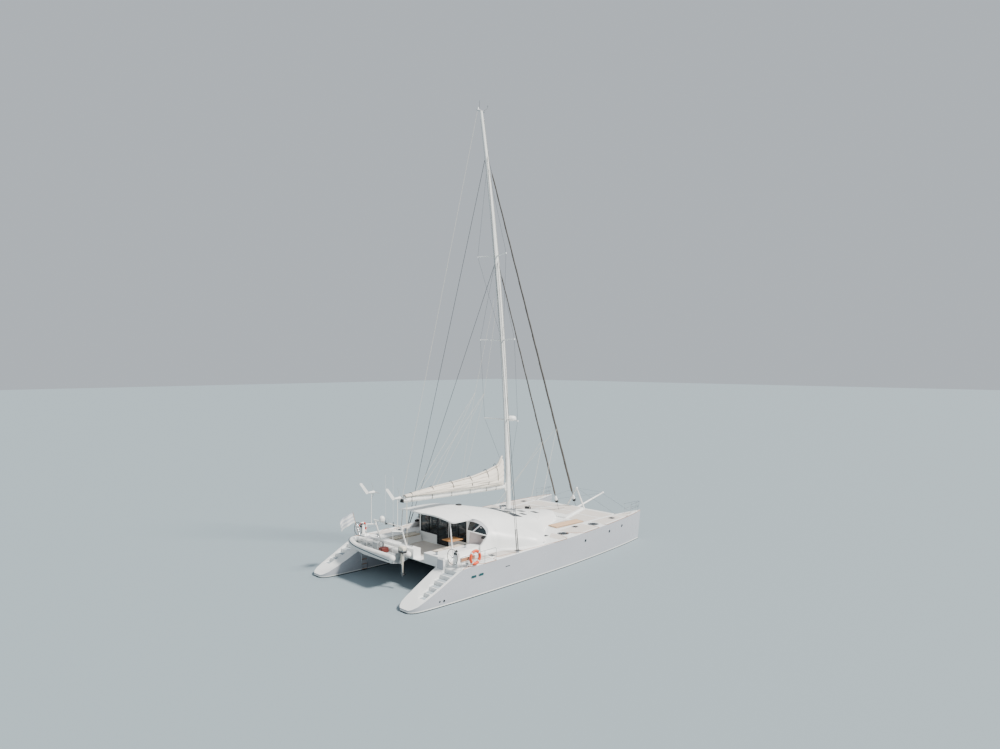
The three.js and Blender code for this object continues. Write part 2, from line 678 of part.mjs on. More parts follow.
function headsail({ foot, drum, roll, top }) {
  const head = [mastX(top), 0, top];
  const along = (z) => {
    const part = (z - foot[2]) / (top - foot[2]);
    return foot.map((value, axis) => value + part * (head[axis] - value));
  };
  const whole = join(
    bar(along(foot[2] - 40), along(top), 14),
    bar(along(drum + 260), along(top - 900), roll, roll * 0.55, 8),
    bar(along(drum - 60), along(drum + 60), 130, 130, 14),
    bar(along(drum + 60), along(drum + 300), 100, 60, 10),
  );
  return cut(whole, moved(mastTube(), SEAT_GAP, 0, 0));
}

for (const stay of FURLED) {
  add(stay.name, cut(headsail(stay), onBeam, onBridge), darkCanvas);
}

// Shrouds from the chainplates to the mast
for (const [name, side] of SIDES) {
  for (const [label, top, shift] of [["cap", CAP_Z, 0], ["lower", LOWER_Z, 120]]) {
    const wire = bar([SHROUD_X + shift, side * SHROUD_Y, 1600], [mastX(top), 0, top], 9, 9, 6);
    add(`${label}_shroud_${name}`, cut(wire, plainHull(side, 0, SEAT_GAP),
      moved(mastTube(), 0, side * SEAT_GAP, 0)), steel);
  }
}

// Helm stations, one on each after deck
const HELM = { x: 2950, y: 4330, z: 2200, radius: 400, rim: 16, shaft: 14 };

function pedestal(side) {
  const ring = (z, x0, x1, half) => [
    [x0, side * HELM.y - half, z], [x1, side * HELM.y - half, z],
    [x1, side * HELM.y + half, z], [x0, side * HELM.y + half, z]];
  const body = loft([
    ring(deckHeight(3350) + SEAT_GAP, 3120, 3340, 190), ring(2100, 3140, 3330, 170),
    ring(2420, 3160, 3290, 150)]);
  return join(body, bar([3160, side * HELM.y, HELM.z], [HELM.x - 20, side * HELM.y, HELM.z],
    HELM.shaft, HELM.shaft, ROUND));
}

function wheel(side) {
  const y = side * HELM.y;
  const rim = new THREE.TorusGeometry(HELM.radius, HELM.rim, 6, 24)
    .rotateY(Math.PI / 2).translate(HELM.x, y, HELM.z);
  const spokes = Array.from({ length: 5 }, (_, i) => {
    const turn = (2 * Math.PI * i) / 5;
    const reach = HELM.radius;
    const end = [HELM.x, y + reach * Math.sin(turn), HELM.z + reach * Math.cos(turn)];
    return bar([HELM.x, y, HELM.z], end, 11, 9, 6);
  });
  const hub = bar([HELM.x - 40, y, HELM.z], [HELM.x + 40, y, HELM.z], 45, 45, 10);
  const bore = bar([HELM.x - 30, y, HELM.z], [HELM.x + 60, y, HELM.z],
    HELM.shaft + RUNNING_GAP, HELM.shaft + RUNNING_GAP, ROUND);
  return cut(join(solidOf(rim), ...spokes, hub), bore);
}

// Rails of bent tube: every foot is cut where it meets the deck
function bowPulpit(side) {
  const y = side * HULL_Y;
  const rows = [[19150, 270, 620], [20480, 90, 640]];
  const top = [
    ...rows.map(([x, half, up]) => [x, y - half, deckHeight(x) + up]),
    ...rows.slice().reverse().map(([x, half, up]) => [x, y + half, deckHeight(x) + up])];
  const legs = [[19150, 270], [19900, 160], [20420, 40]].flatMap(([x, half]) =>
    [-1, 1].map((way) => bar([x, y + way * half * 0.8, 1800],
      [x, y + way * Math.max(half, 95), deckHeight(x) + 628], 14, 14, 6)));
  return cut(join(tubing(top, 15, 6), ...legs), plainHull(side, 0, SEAT_GAP));
}

function sternRail(side) {
  const y = side * 4900;
  const posts = [3050, 3900, 4750, 5600];
  const up = 650;
  const rails = [up, up * 0.55].map((z) => bar([posts[0], y, deckHeight(posts[0]) + z],
    [posts[3], y, deckHeight(posts[3]) + z], 14, 14, 6));
  const legs = posts.map((x) => bar([x, side * 4880, 1400], [x, y, deckHeight(x) + up + 10],
    14, 14, 6));
  return cut(join(...rails, ...legs), plainHull(side, 0, SEAT_GAP));
}

for (const [name, side] of SIDES) {
  add(`helm_pedestal_${name}`, pedestal(side), gelcoat);
  add(`helm_wheel_${name}`, wheel(side), blackPlastic);
  add(`bow_pulpit_${name}`, bowPulpit(side), steel);
  add(`stern_rail_${name}`, sternRail(side), steel);
}

// Stern gantry: two legs from the after coaming, a beam, and davit arms with their falls
const GANTRY = { ys: [-220, 2300], footX: 3150, beamX: 2750, beamZ: 3100, armZ: 2850 };
const TENDER = { x: 2170, stern: -850, bow: 3750, tube: 190, spread: 540, z: 1700, keel: 1310 };
const TENDER_FLOOR = 1640;

function gantry() {
  const { ys, footX, beamX, beamZ, armZ } = GANTRY;
  const legs = ys.map((y) => bar([footX, y, COAMING_Z - 60], [beamX, y, beamZ], 45));
  const arms = ys.map((y) => bar([beamX + 85, y, armZ], [TENDER.x - 60, y, armZ + 120], 40, 30));
  const falls = ys.map((y) =>
    bar([TENDER.x, y, armZ + 110], [TENDER.x, y, TENDER_FLOOR + SEAT_GAP], 10, 10, 6));
  const across = bar([beamX, -300, beamZ], [beamX, 2400, beamZ], 50);
  return cut(join(across, ...legs, ...arms, ...falls), onBridge);
}

const frame = gantry();
add("stern_gantry", frame, alloy);

// Wind generators on poles from the davit arms, each with a fin that sweeps up behind it
const GENERATORS = [{ name: "port", y: 2300 }, { name: "starboard", y: -220 }];
const GENERATOR = { x: 2490, hub: 4750, nose: 150, blades: 210, reach: 590 };

function generator(y) {
  const { x, hub, nose } = GENERATOR;
  const pole = bar([x, y, GANTRY.armZ + 60], [x, y, hub], 25);
  const fin = sideProfile([[x - 100, hub - 45], [x - 340, hub - 60], [x - 800, hub + 560],
    [x - 780, hub + 640], [x - 640, hub + 610], [x - 200, hub + 60]], [y - 9, y + 9]);
  const shell = bar([x + nose, y, hub], [x - 190, y, hub], 88, 45, 12);
  return join(cut(pole, moved(frame, 0, 0, SEAT_GAP)), shell, fin);
}

function windRotor(y) {
  const { x, hub, nose, blades, reach } = GENERATOR;
  const spinner = bar([x + nose + RUNNING_GAP, y, hub], [x + nose + 120, y, hub], 80, 35, 12);
  const arms = [0, 1, 2].map((i) => {
    const turn = 0.5 + (2 * Math.PI * i) / 3;
    return bar([x + blades, y, hub],
      [x + blades, y + reach * Math.sin(turn), hub + reach * Math.cos(turn)], 32, 14, 6);
  });
  return join(spinner, ...arms);
}

for (const { name, y } of GENERATORS) {
  add(`wind_generator_${name}`, generator(y), gelcoat);
  add(`wind_rotor_${name}`, windRotor(y), gelcoat);
}

// Tender slung athwartships under the davits, bow to port, with its outboard motor
const OUTBOARD = { pinY: TENDER.stern - 80, pin: 20, legY: TENDER.stern - 225, propZ: 850 };

function tender() {
  const { x, stern, bow, tube, spread, z, keel } = TENDER;
  const side = (way) => [
    [x + way * spread, stern, z], [x + way * spread, 1100, z], [x + way * spread, 2300, z + 20],
    [x + way * spread * 0.82, 3000, z + 60], [x + way * spread * 0.44, 3480, z + 110]];
  const points = [...side(-1), [x, bow - tube, z + 140], ...side(1).reverse()];
  const path = new THREE.CatmullRomCurve3(points.map((point) => new THREE.Vector3(...point)));
  const round = new THREE.Shape().absarc(0, 0, tube, 0, 2 * Math.PI);
  const tubeGeometry = new THREE.ExtrudeGeometry(round,
    { steps: 26, curveSegments: 5, bevelEnabled: false, extrudePath: path });
  const ring = (y, half, low, chine) => [
    [x - half, y, TENDER_FLOOR], [x - half, y, chine], [x, y, low], [x + half, y, chine],
    [x + half, y, TENDER_FLOOR]];
  const bottom = loft([
    ring(stern, spread, keel, 1420), ring(1800, spread, keel, 1420),
    ring(2800, spread * 0.8, keel + 50, 1470), ring(3500, spread * 0.3, keel + 200, 1600)]);
  const transom = box([x - spread, x + spread], [stern, stern + 60], [1500, 1900]);
  const console = box([x - 230, x + 230], [900, 1350], [1600, 2150]);
  const lugs = [1450, 1700].map((low) =>
    box([x - 40, x + 40], [stern - 110, stern + 10], [low, low + 30]));
  const pin = bar([x, OUTBOARD.pinY, 1455], [x, OUTBOARD.pinY, 1725],
    OUTBOARD.pin, OUTBOARD.pin, ROUND);
  return join(solidOf(tubeGeometry), bottom, transom, console, ...lugs, pin);
}

function outboard() {
  const { x } = TENDER;
  const { pinY, legY, propZ } = OUTBOARD;
  const cowlRing = (z, half, front, back) => [
    [x - half, front, z], [x + half, front, z], [x + half, back, z], [x - half, back, z]];
  const cowl = loft([
    cowlRing(1960, 130, pinY + 20, legY - 200), cowlRing(2080, 160, pinY + 20, legY - 240),
    cowlRing(2230, 150, pinY + 10, legY - 210), cowlRing(2300, 90, pinY - 40, legY - 130)]);
  const leg = loft([
    ellipse(x, legY, 75, 95, 1980), ellipse(x, legY, 60, 80, 1300),
    ellipse(x, legY, 35, 70, propZ - 20)]);
  const bulb = bar([x, legY + 110, propZ], [x, legY - 135 + RUNNING_GAP, propZ], 45, 38, 10);
  const skeg = box([x - 8, x + 8], [legY - 60, legY + 60], [propZ - 190, propZ]);
  const arm = box([x - 35, x + 35], [legY, pinY - 10], [1500, 1680]);
  const sleeve = bar([x, pinY, 1486], [x, pinY, 1694], 42, 42, 10);
  const running = OUTBOARD.pin + RUNNING_GAP;
  const bore = bar([x, pinY, 1400], [x, pinY, 1800], running, running, ROUND);
  return cut(join(cowl, leg, bulb, skeg, arm, sleeve), bore);
}

const outboardScrew = () => screw({
  at: [TENDER.x, OUTBOARD.legY - 180, OUTBOARD.propZ], hubRadius: 36, hubLength: 90,
  bladeLength: 110, bladeWidth: 95, pitch: 0.6, blades: 3, axis: [0, 1, 0],
});

add("tender", tender(), gelcoat);
add("outboard_motor", outboard(), cream);
add("outboard_propeller", outboardScrew(), blackPlastic);

// Boarding ladder hinged on the inboard side of the port hull, swinging in and up
const LADDER = { xs: [2400, 2800], y: 3150, top: 1200, foot: -250, tube: 16 };

function ladder() {
  const { xs, y, top, foot, tube } = LADDER;
  const rails = xs.map((x) => bar([x, y, top], [x, y, foot], tube, tube, 6));
  const rungs = [0, 1, 2, 3, 4].map((i) =>
    bar([xs[0], y, foot + 60 + 290 * i], [xs[1], y, foot + 60 + 290 * i], 14, 14, 6));
  return join(...rails, ...rungs, bar([xs[0] - 20, y, top], [xs[1] + 20, y, top], tube));
}

function ladderHinge() {
  const { xs, y, top } = LADDER;
  const cheeks = [xs[0] - 40.5, xs[1] + 20.5].map((x) =>
    box([x, x + 20], [y - 25, 3400], [top - 25, top + 25]));
  const back = box([xs[0] - 40, xs[1] + 40], [y + 24, 3400], [top - 25, top + 25]);
  return cut(join(...cheeks, back), moved(plainHull(1), 0, -SEAT_GAP, 0));
}

add("boarding_ladder", ladder(), steel);
add("ladder_hinge", ladderHinge(), steel);

// Cockpit table on a pedestal, bench cushions and the sun pad on the foredeck
const TABLE = { xs: [4930, 5860], ys: [-1950, -1150], leg: [5400, -1480], top: 2200 };

function table() {
  const [x, y] = TABLE.leg;
  const leg = bar([x, y, FLOOR_Z + SEAT_GAP], [x, y, TABLE.top - 20], 60);
  const foot = bar([x, y, FLOOR_Z + SEAT_GAP], [x, y, FLOOR_Z + 30], 180, 180, 14);
  return join(box(TABLE.xs, TABLE.ys, [TABLE.top - 40, TABLE.top]), leg, foot);
}

function sunPad() {
  const corners = [[13020, -2160], [15430, -2560], [15300, -3300], [12900, -2960]];
  const low = deckLine(12800, 15500).map(([x, z]) => [x, z + SEAT_GAP]);
  const high = low.map(([x, z]) => [x, z + 90]).reverse();
  return sideProfile([...low, ...high], [-4000, -1500]).intersect(plan(corners, [1500, 2400]));
}

add("cockpit_table", table(), teak);
for (const [name, side] of SIDES) {
  add(`bench_cushion_${name}`, box([3720, 5680], [side * 1720, side * 2290],
    [FLOOR_Z + 380 + SEAT_GAP, FLOOR_Z + 460]), canvas);
}
add("sun_pad", sunPad(), teak);

// Windlass on the front of the coachroof
const WINDLASS = { x: 14300, y: 700 };

function windlass() {
  const { x, y } = WINDLASS;
  const body = join(
    box([x - 190, x + 190], [y - 140, y + 140], [2000, 2420]),
    bar([x, y - 260, 2380], [x, y + 260, 2380], 90, 90, 12));
  return cut(body, onRoof);
}

add("windlass", windlass(), blackPlastic);

export default boat;
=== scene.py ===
import bpy
import bmesh
import math
from mathutils import Matrix, Vector, bvhtree, noise


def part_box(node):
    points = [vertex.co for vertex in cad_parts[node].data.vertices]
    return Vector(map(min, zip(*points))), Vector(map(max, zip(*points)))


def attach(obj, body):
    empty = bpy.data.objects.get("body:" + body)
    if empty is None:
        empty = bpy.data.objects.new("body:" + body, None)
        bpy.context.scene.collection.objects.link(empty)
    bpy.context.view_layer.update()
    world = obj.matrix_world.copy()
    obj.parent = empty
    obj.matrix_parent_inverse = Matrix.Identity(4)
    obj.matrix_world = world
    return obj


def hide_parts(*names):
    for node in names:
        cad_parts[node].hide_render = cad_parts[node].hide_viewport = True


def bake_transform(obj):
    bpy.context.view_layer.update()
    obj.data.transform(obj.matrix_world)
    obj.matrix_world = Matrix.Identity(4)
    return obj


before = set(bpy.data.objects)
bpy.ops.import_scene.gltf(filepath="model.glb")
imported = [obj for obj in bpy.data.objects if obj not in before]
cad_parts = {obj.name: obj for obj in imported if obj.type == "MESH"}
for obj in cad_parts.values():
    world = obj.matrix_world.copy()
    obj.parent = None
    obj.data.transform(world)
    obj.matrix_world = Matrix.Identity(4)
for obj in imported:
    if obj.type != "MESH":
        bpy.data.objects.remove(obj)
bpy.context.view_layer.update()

# Camera: from above the wake, astern on the starboard side, level, with the lens of a small
# drone. The frame is held upright by a slight shift, so the mast stays plumb in the picture.
AMIDSHIPS = 10.2
FRAME_WIDTH, FOCAL_PIXELS, SHIFT_PIXELS = 1000, 693, -11.5
SENSOR = 36
EYE = (-31.05, -31.44, 12.28)
HEADING = (0.7096, 0.7046, 0)


def at(x, y, z=0.0):
    """A place given forward of the transoms, to port and above the water, in metres"""
    return Vector((x - AMIDSHIPS, y, z))


camera_data = bpy.data.cameras.new("camera")
camera_data.sensor_width = SENSOR
camera_data.lens = SENSOR * FOCAL_PIXELS / FRAME_WIDTH
camera_data.shift_y = SHIFT_PIXELS / FRAME_WIDTH
camera_data.clip_end = 1000
camera = bpy.data.objects.new("camera", camera_data)
bpy.context.scene.collection.objects.link(camera)
look = Vector(HEADING).normalized()
right = Vector((look.y, -look.x, 0))
camera.matrix_world = Matrix(((right.x, 0, -look.x, EYE[0]), (right.y, 0, -look.y, EYE[1]),
                              (right.z, 1, -look.z, EYE[2]), (0, 0, 0, 1)))
bpy.context.scene.camera = camera


# Floor and light: a pale floor at the waterline, since the boat is shown afloat, with a
# broad soft sun from forward on the starboard side and an even pale surround.
def linear(colour):
    """A colour written as sRGB hex, as linear values for a shader"""
    parts = [int(colour[i:i + 2], 16) / 255 for i in (1, 3, 5)]
    return [c / 12.92 if c < 0.04045 else ((c + 0.055) / 1.055) ** 2.4 for c in parts] + [1]


def feed(material, node, links):
    """Joins outputs, given as (node, output), to a node's inputs"""
    for socket, (source, output) in links.items():
        material.node_tree.links.new(source.outputs[output], node.inputs[socket])


def add_node(material, kind, settings={}, links={}):
    """Adds a node with its settings, by attribute or by input, and its links"""
    node = material.node_tree.nodes.new(kind)
    for key, value in settings.items():
        if isinstance(key, str) and hasattr(node, key):
            setattr(node, key, value)
        else:
            node.inputs[key].default_value = value
    feed(material, node, links)
    return node


def deselect():
    bpy.ops.object.select_all(action="DESELECT")


def settle(obj):
    """Leaves the object at the origin, unturned and unscaled, with its place in its mesh"""
    obj.data.transform(obj.matrix_basis)
    obj.matrix_basis = Matrix()
    return obj


FLOOR_SIZE = 700
deselect()
bpy.ops.mesh.primitive_plane_add(size=FLOOR_SIZE)
floor = settle(bpy.context.object)
floor.name = "floor"
floor_paint = bpy.data.materials.new("matt_floor_paint")
floor_paint.use_nodes = True
floor_shader = floor_paint.node_tree.nodes["Principled BSDF"]
floor_shader.inputs["Base Color"].default_value = linear("#8C9BA2")
floor_shader.inputs["Roughness"].default_value = 0.75
floor.data.materials.append(floor_paint)

world = bpy.data.worlds.new("surround")
bpy.context.scene.world = world
world.use_nodes = True
world.node_tree.nodes["Background"].inputs["Color"].default_value = linear("#DDE6EE")
world.node_tree.nodes["Background"].inputs["Strength"].default_value = 0.75
SUNLIGHT_RUNS = (-0.3, 0.62, -0.8)
sun_data = bpy.data.lights.new("soft_sun", "SUN")
sun_data.energy = 7.5
sun_data.angle = math.radians(9)
sun_data.color = linear("#FFFAF3")[:3]
sun = bpy.data.objects.new("soft_sun", sun_data)
bpy.context.scene.collection.objects.link(sun)
sun.rotation_euler = Vector(SUNLIGHT_RUNS).to_track_quat("-Z", "Y").to_euler()


# Hulls: two slim moulded hulls in silver-grey gelcoat with a white boot line and dark
# antifouling below the water, and a lighter deck. Each is one laminate from stem to steps.
def finish(name, colours, patch, grain, relief, roughness, metallic=0.0, stretch=(1, 1, 1)):
    """A finish that drifts between two shades in patches, with a fine relief, all in mm"""
    material = bpy.data.materials.new(name)
    material.use_nodes = True
    shader = material.node_tree.nodes["Principled BSDF"]
    shader.inputs["Metallic"].default_value = metallic
    where = add_node(material, "ShaderNodeTexCoord")
    scaled = add_node(material, "ShaderNodeMapping", {"Scale": stretch}, {"Vector": (where, "Object")})
    drift = add_node(material, "ShaderNodeTexNoise", {"Scale": 1000 / patch, "Detail": 4.0},
                     {"Vector": (scaled, "Vector")})
    shade = add_node(material, "ShaderNodeMix", {"data_type": "RGBA", "name": "shade",
                     6: linear(colours[0]), 7: linear(colours[1])}, {0: (drift, "Fac")})
    dull = add_node(material, "ShaderNodeMapRange", {"To Min": roughness[0], "To Max": roughness[1]},
                    {"Value": (drift, "Fac")})
    fine = add_node(material, "ShaderNodeTexNoise", {"Scale": 1000 / grain, "Detail": 2.0},
                    {"Vector": (scaled, "Vector")})
    bump = add_node(material, "ShaderNodeBump", {"name": "relief", "Distance": relief / 1000,
                    "Strength": 0.6}, {"Height": (fine, "Fac")})
    feed(material, shader, {"Base Color": (shade, "Result"), "Roughness": (dull, "Result"),
                            "Normal": (bump, "Normal")})
    return material


def pick(obj):
    """Selects one object alone and makes it the active one"""
    deselect()
    obj.select_set(True)
    bpy.context.view_layer.objects.active = obj


def placed(name, data):
    """A new object for a mesh or a curve, in the scene and picked"""
    obj = bpy.data.objects.new(name, data)
    bpy.context.scene.collection.objects.link(obj)
    pick(obj)
    return obj


def shade(angle=40):
    """Shades the picked object smooth, but for edges sharper than an angle in degrees"""
    bpy.ops.object.shade_smooth_by_angle(angle=math.radians(angle))


def own(obj, name, material, body="root", node=None):
    """Names a finished piece, gives it its finish and hangs it on its body, for its node"""
    obj.name = name
    obj.data.name = name
    obj.data.materials.clear()
    obj.data.materials.append(material)
    if body:
        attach(obj, body)
    if node:
        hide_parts(node)
    return obj


def skin_of(node, material, angle=35, body="root"):
    """A merged, smoothed copy of a CAD node, which it replaces"""
    obj = placed(node + "_skin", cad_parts[node].data.copy())
    merged = bmesh.new()
    merged.from_mesh(obj.data)
    bmesh.ops.remove_doubles(merged, verts=merged.verts, dist=0.00002)
    bmesh.ops.dissolve_limit(merged, angle_limit=math.radians(0.6), verts=merged.verts,
                             edges=merged.edges)
    merged.to_mesh(obj.data)
    merged.free()
    bpy.ops.mesh.customdata_custom_splitnormals_clear()
    shade(angle)
    return own(obj, obj.name, material, body, node)


def paint_faces(obj, material, test):
    """Gives a material to the faces whose centre and normal pass the test"""
    obj.data.materials.append(material)
    for face in obj.data.polygons:
        if test(face.center, face.normal):
            face.material_index = len(obj.data.materials) - 1


# Gelcoat, sprayed in the mould: glossy, and only faintly uneven after years of sun
topside_gelcoat = finish("silver_gelcoat", ("#B9BBC1", "#AEB1B8"), 1400, 60, 0.15, (0.22, 0.34))
deck_gelcoat = finish("white_gelcoat", ("#F7F8F6", "#ECEEED"), 900, 40, 0.2, (0.3, 0.45))
# Antifouling, rolled on: dead matt, with a greenish bloom and roller stipple
antifouling = finish("rolled_antifouling", ("#262C33", "#343B3D"), 500, 9, 1.2, (0.75, 0.9))

# The boot line is taped and painted: the gelcoat changes with height above the water
shader = topside_gelcoat.node_tree.nodes["Principled BSDF"]
for stripe_low, stripe_high, stripe_colour in [(0.05, 0.11, "#F2F2EE"), (-3.0, 0.05, "#2B3138")]:
    before = shader.inputs["Base Color"].links[0].from_socket
    where = add_node(topside_gelcoat, "ShaderNodeTexCoord")
    height = add_node(topside_gelcoat, "ShaderNodeSeparateXYZ", {}, {"Vector": (where, "Object")})
    above = add_node(topside_gelcoat, "ShaderNodeMath", {"operation": "GREATER_THAN", 1: stripe_low},
                     {0: (height, "Z")})
    below = add_node(topside_gelcoat, "ShaderNodeMath", {"operation": "LESS_THAN", 1: stripe_high},
                     {0: (height, "Z")})
    band = add_node(topside_gelcoat, "ShaderNodeMath", {"operation": "MULTIPLY"},
                    {0: (above, "Value"), 1: (below, "Value")})
    striped = add_node(topside_gelcoat, "ShaderNodeMix", {"data_type": "RGBA", 7: linear(stripe_colour)},
                       {0: (band, "Value")})
    topside_gelcoat.node_tree.links.new(before, striped.inputs[6])
    feed(topside_gelcoat, shader, {"Base Color": (striped, "Result")})

SIDES = {"port": 1, "starboard": -1}
HULL_Y, STERN_DECK_Y = 4.07, 4.3
hulls = {}
for name, side in SIDES.items():
    hull = skin_of("hull_" + name, topside_gelcoat)
    paint_faces(hull, deck_gelcoat, lambda centre, normal: centre.z > 0.3 and (
        normal.z > 0.35 or centre.x < -7 and (
            normal.x < -0.85 and abs(abs(centre.y) - STERN_DECK_Y) < 0.6
            or (abs(centre.y) - STERN_DECK_Y) * math.copysign(normal.y, centre.y * normal.y) < 0)))
    paint_faces(hull, antifouling, lambda centre, normal: centre.z < -0.02 and centre.x < 10)
    hulls[name] = hull
    skin_of("keel_" + name, antifouling, 50)
    skin_of("rudder_" + name, antifouling, 50, "rudder_" + name)


# Gunwale: a thin varnished rubbing strake along the outer edge of each hull's deck, screwed down
# over the joint between the hull and deck mouldings.
def tube(name, runs, radius, material, body="root", sides=3, node=None):
    """One mesh of round tubes or lines, each through its list of points"""
    curve = bpy.data.curves.new(name, "CURVE")
    curve.dimensions = "3D"
    curve.bevel_depth = radius
    curve.bevel_resolution = sides
    curve.use_fill_caps = True
    for run in runs:
        spline = curve.splines.new("POLY")
        spline.points.add(len(run) - 1)
        for point, place in zip(spline.points, run):
            point.co = (*place, 1)
    placed(name, curve)
    bpy.ops.object.convert(target="MESH")
    shade()
    return own(bpy.context.object, name, material, body, node)


def gunwale(hull, side):
    """The places where a deck face meets a topside face, on the outer side of a hull"""
    faces = {}
    for polygon in hull.data.polygons:
        for key in polygon.edge_keys:
            faces.setdefault(key, set()).add(polygon.material_index)
    found = {}
    for key, kinds in faces.items():
        for index in key:
            place = hull.data.vertices[index].co
            if kinds == {0, 1} and side * place.y > HULL_Y and -7.1 < place.x < 10.47:
                found[round(place.x, 2)] = place.copy()
    return [found[x] + Vector((0, 0, 0.006)) for x in sorted(found) if found[x].z > 1.6]


varnish = finish("varnished_wood", ("#B98A6A", "#A67557"), 300, 25, 0.3, (0.3, 0.42),
                 stretch=(0.1, 1, 1))
tube("rubbing_strakes", [gunwale(hulls[name], side) for name, side in SIDES.items()], 0.016,
     varnish)


# Boarding steps: five treads moulded into each sloping stern, with grey grit pads so that
# wet feet hold.
def modify(obj, kind, **settings):
    """Gives the picked object a modifier with its settings, and applies it"""
    modifier = obj.modifiers.new(kind, kind)
    for key, value in settings.items():
        setattr(modifier, key, value)
    bpy.ops.object.modifier_apply(modifier=kind)


def soften(obj, width, segments=3):
    """Rounds the edges of a piece, where a width is given, and shades it smooth"""
    pick(obj)
    if width:
        modify(obj, "BEVEL", width=width, segments=segments, limit_method="ANGLE",
               angle_limit=math.radians(30))
    shade()
    return obj


def sized_box(middle, size):
    """A plain box, to be worked on"""
    deselect()
    bpy.ops.mesh.primitive_cube_add(size=1, location=middle)
    bpy.context.object.scale = size
    return settle(bpy.context.object)


def rounded(low, high, round_by):
    """A box between two corners, with its edges rounded"""
    size = [abs(b - a) for a, b in zip(low, high)]
    return soften(sized_box((Vector(low) + Vector(high)) / 2, size), round_by)


def joined(name, parts, material, body="root", node=None):
    """Several parts of one finish made into one piece"""
    pick(parts[0])
    for part in parts:
        part.select_set(True)
    bpy.ops.object.join()
    return own(parts[0], name, material, body, node)


def touch(obj):
    """A tree for finding where a line meets the surface of a piece"""
    mesh = obj.data
    return bvhtree.BVHTree.FromPolygons([v.co for v in mesh.vertices],
                                        [list(face.vertices) for face in mesh.polygons])


def top_of(trees, place):
    """The highest place of some pieces in line with a place, seen from above, and its normal"""
    hits = [tree.ray_cast(Vector((place.x, place.y, 6)), Vector((0, 0, -1)))[:2] for tree in trees]
    return max((hit for hit in hits if hit[0]), key=lambda hit: hit[0].z)


# Grit paint over epoxy: matt grey-blue with a sandy relief
grit_pad = finish("grit_deck_paint", ("#AEB8BE", "#9AA6AE"), 200, 4, 1.5, (0.8, 0.95))
hull_trees = {name: touch(hull) for name, hull in hulls.items()}
FIRST_TREAD, TREAD_RUN, TREAD_COUNT, TREAD_FLARE = 1.02, 0.41, 5, 0.07
treads = []
for name, side in SIDES.items():
    for step in range(TREAD_COUNT):
        x, outer = FIRST_TREAD + TREAD_RUN * step, 4.4
        tread = top_of([hull_trees[name]], at(x, side * outer))[0]
        while abs(top_of([hull_trees[name]], at(x, side * outer))[0].z - tread.z) < 0.02:
            outer += 0.01
        inner = HULL_Y + 0.08 - TREAD_FLARE * step
        treads.append(rounded((tread.x - 0.15, side * (inner + 0.05), tread.z - 0.002),
                              (tread.x + 0.16, side * (outer - 0.06), tread.z + 0.006), 0.003))
joined("stern_step_pads", treads, grit_pad)


# Deck panels: beige grit laid over the white decks in panels with cut corners, which
# leave a bare white margin round the hatches and along the edges.
def moulded(name, form):
    """The object of a finished bmesh"""
    mesh = bpy.data.meshes.new(name)
    form.to_mesh(mesh)
    form.free()
    return placed(name, mesh)


def corners_cut(outline, size):
    """An outline with each corner cut off by a short straight edge"""
    result = []
    for i, corner in enumerate(outline):
        for other in (outline[i - 1], outline[(i + 1) % len(outline)]):
            reach = math.dist(corner, other)
            result.append(tuple(c + (o - c) * size / reach for c, o in zip(corner, other)))
    return result


def laid_panels(name, outlines, trees, corner=0.08, lift=0.004, body="root"):
    """Thin grit panels, each an outline seen from above, that lie on what is below them"""
    panels = bmesh.new()
    for outline in outlines:
        face = panels.faces.new([panels.verts.new(at(x, y)) for x, y in corners_cut(outline, corner)])
        face.normal_update()
        if face.normal.z < 0:
            face.normal_flip()
    for i in range(80):
        bmesh.ops.bisect_plane(panels, geom=panels.verts[:] + panels.edges[:] + panels.faces[:],
                               plane_co=(-9 + 0.25 * i, 0, 0), plane_no=(1, 0, 0), dist=0.0001)
    for vertex in panels.verts:
        vertex.co.z = top_of(trees, vertex.co)[0].z + lift
    obj = moulded(name, panels)
    modify(obj, "SOLIDIFY", thickness=lift * 0.9)
    own(obj, name, beige_grit, body)


beige_grit = finish("beige_grit_panel", ("#D8D2CC", "#CCC5BD"), 700, 5, 1.2, (0.8, 0.92))
bridge = skin_of("bridgedeck", deck_gelcoat)
paint_faces(bridge, topside_gelcoat, lambda centre, normal: normal.z < -0.3 or centre.z < 1.3)
bridge_tree = touch(bridge)
half_panels = [
    [(12.85, 2.45), (13.9, 2.05), (15.1, 1.95), (15.1, 3.28), (12.85, 3.1)],
    [(15.35, 1.95), (16.85, 1.55), (16.85, 3.38), (15.35, 3.28)],
    [(17.0, 1.5), (18.25, 1.1), (18.25, 3.5), (17.0, 3.4)],
    [(5.95, 3.75), (7.0, 3.95), (7.9, 4.55), (7.9, 4.85), (5.95, 4.85)],
    [(11.0, 4.0), (11.85, 3.45), (11.85, 4.82), (11.0, 4.86)],
    [(12.65, 3.4), (14.85, 3.42), (14.85, 4.68), (12.65, 4.8)],
    [(15.75, 3.52), (18.1, 3.68), (18.1, 4.4), (15.75, 4.62)],
    [(18.25, 3.72), (19.6, 3.9), (19.6, 4.2), (18.25, 4.38)],
    [(3.25, 3.45), (4.05, 3.45), (4.05, 4.05), (3.25, 4.05)],
]
laid_panels("deck_panels", [[(x, side * y) for x, y in panel] for side in SIDES.values()
                            for panel in half_panels], [bridge_tree, *hull_trees.values()])
laid_panels("plinth_panels", [[(15.95, 1.35), (16.9, 1.15), (16.9, -1.15), (15.95, -1.35)],
                              [(17.0, 1.12), (18.2, 0.78), (18.2, -0.78), (17.0, -1.12)]], [bridge_tree])
laid_panels("cockpit_sole", [[(3.65, -1.62), (3.65, 1.62), (5.85, 1.62), (5.85, -1.62)]],
            [bridge_tree], 0.06, 0.005)


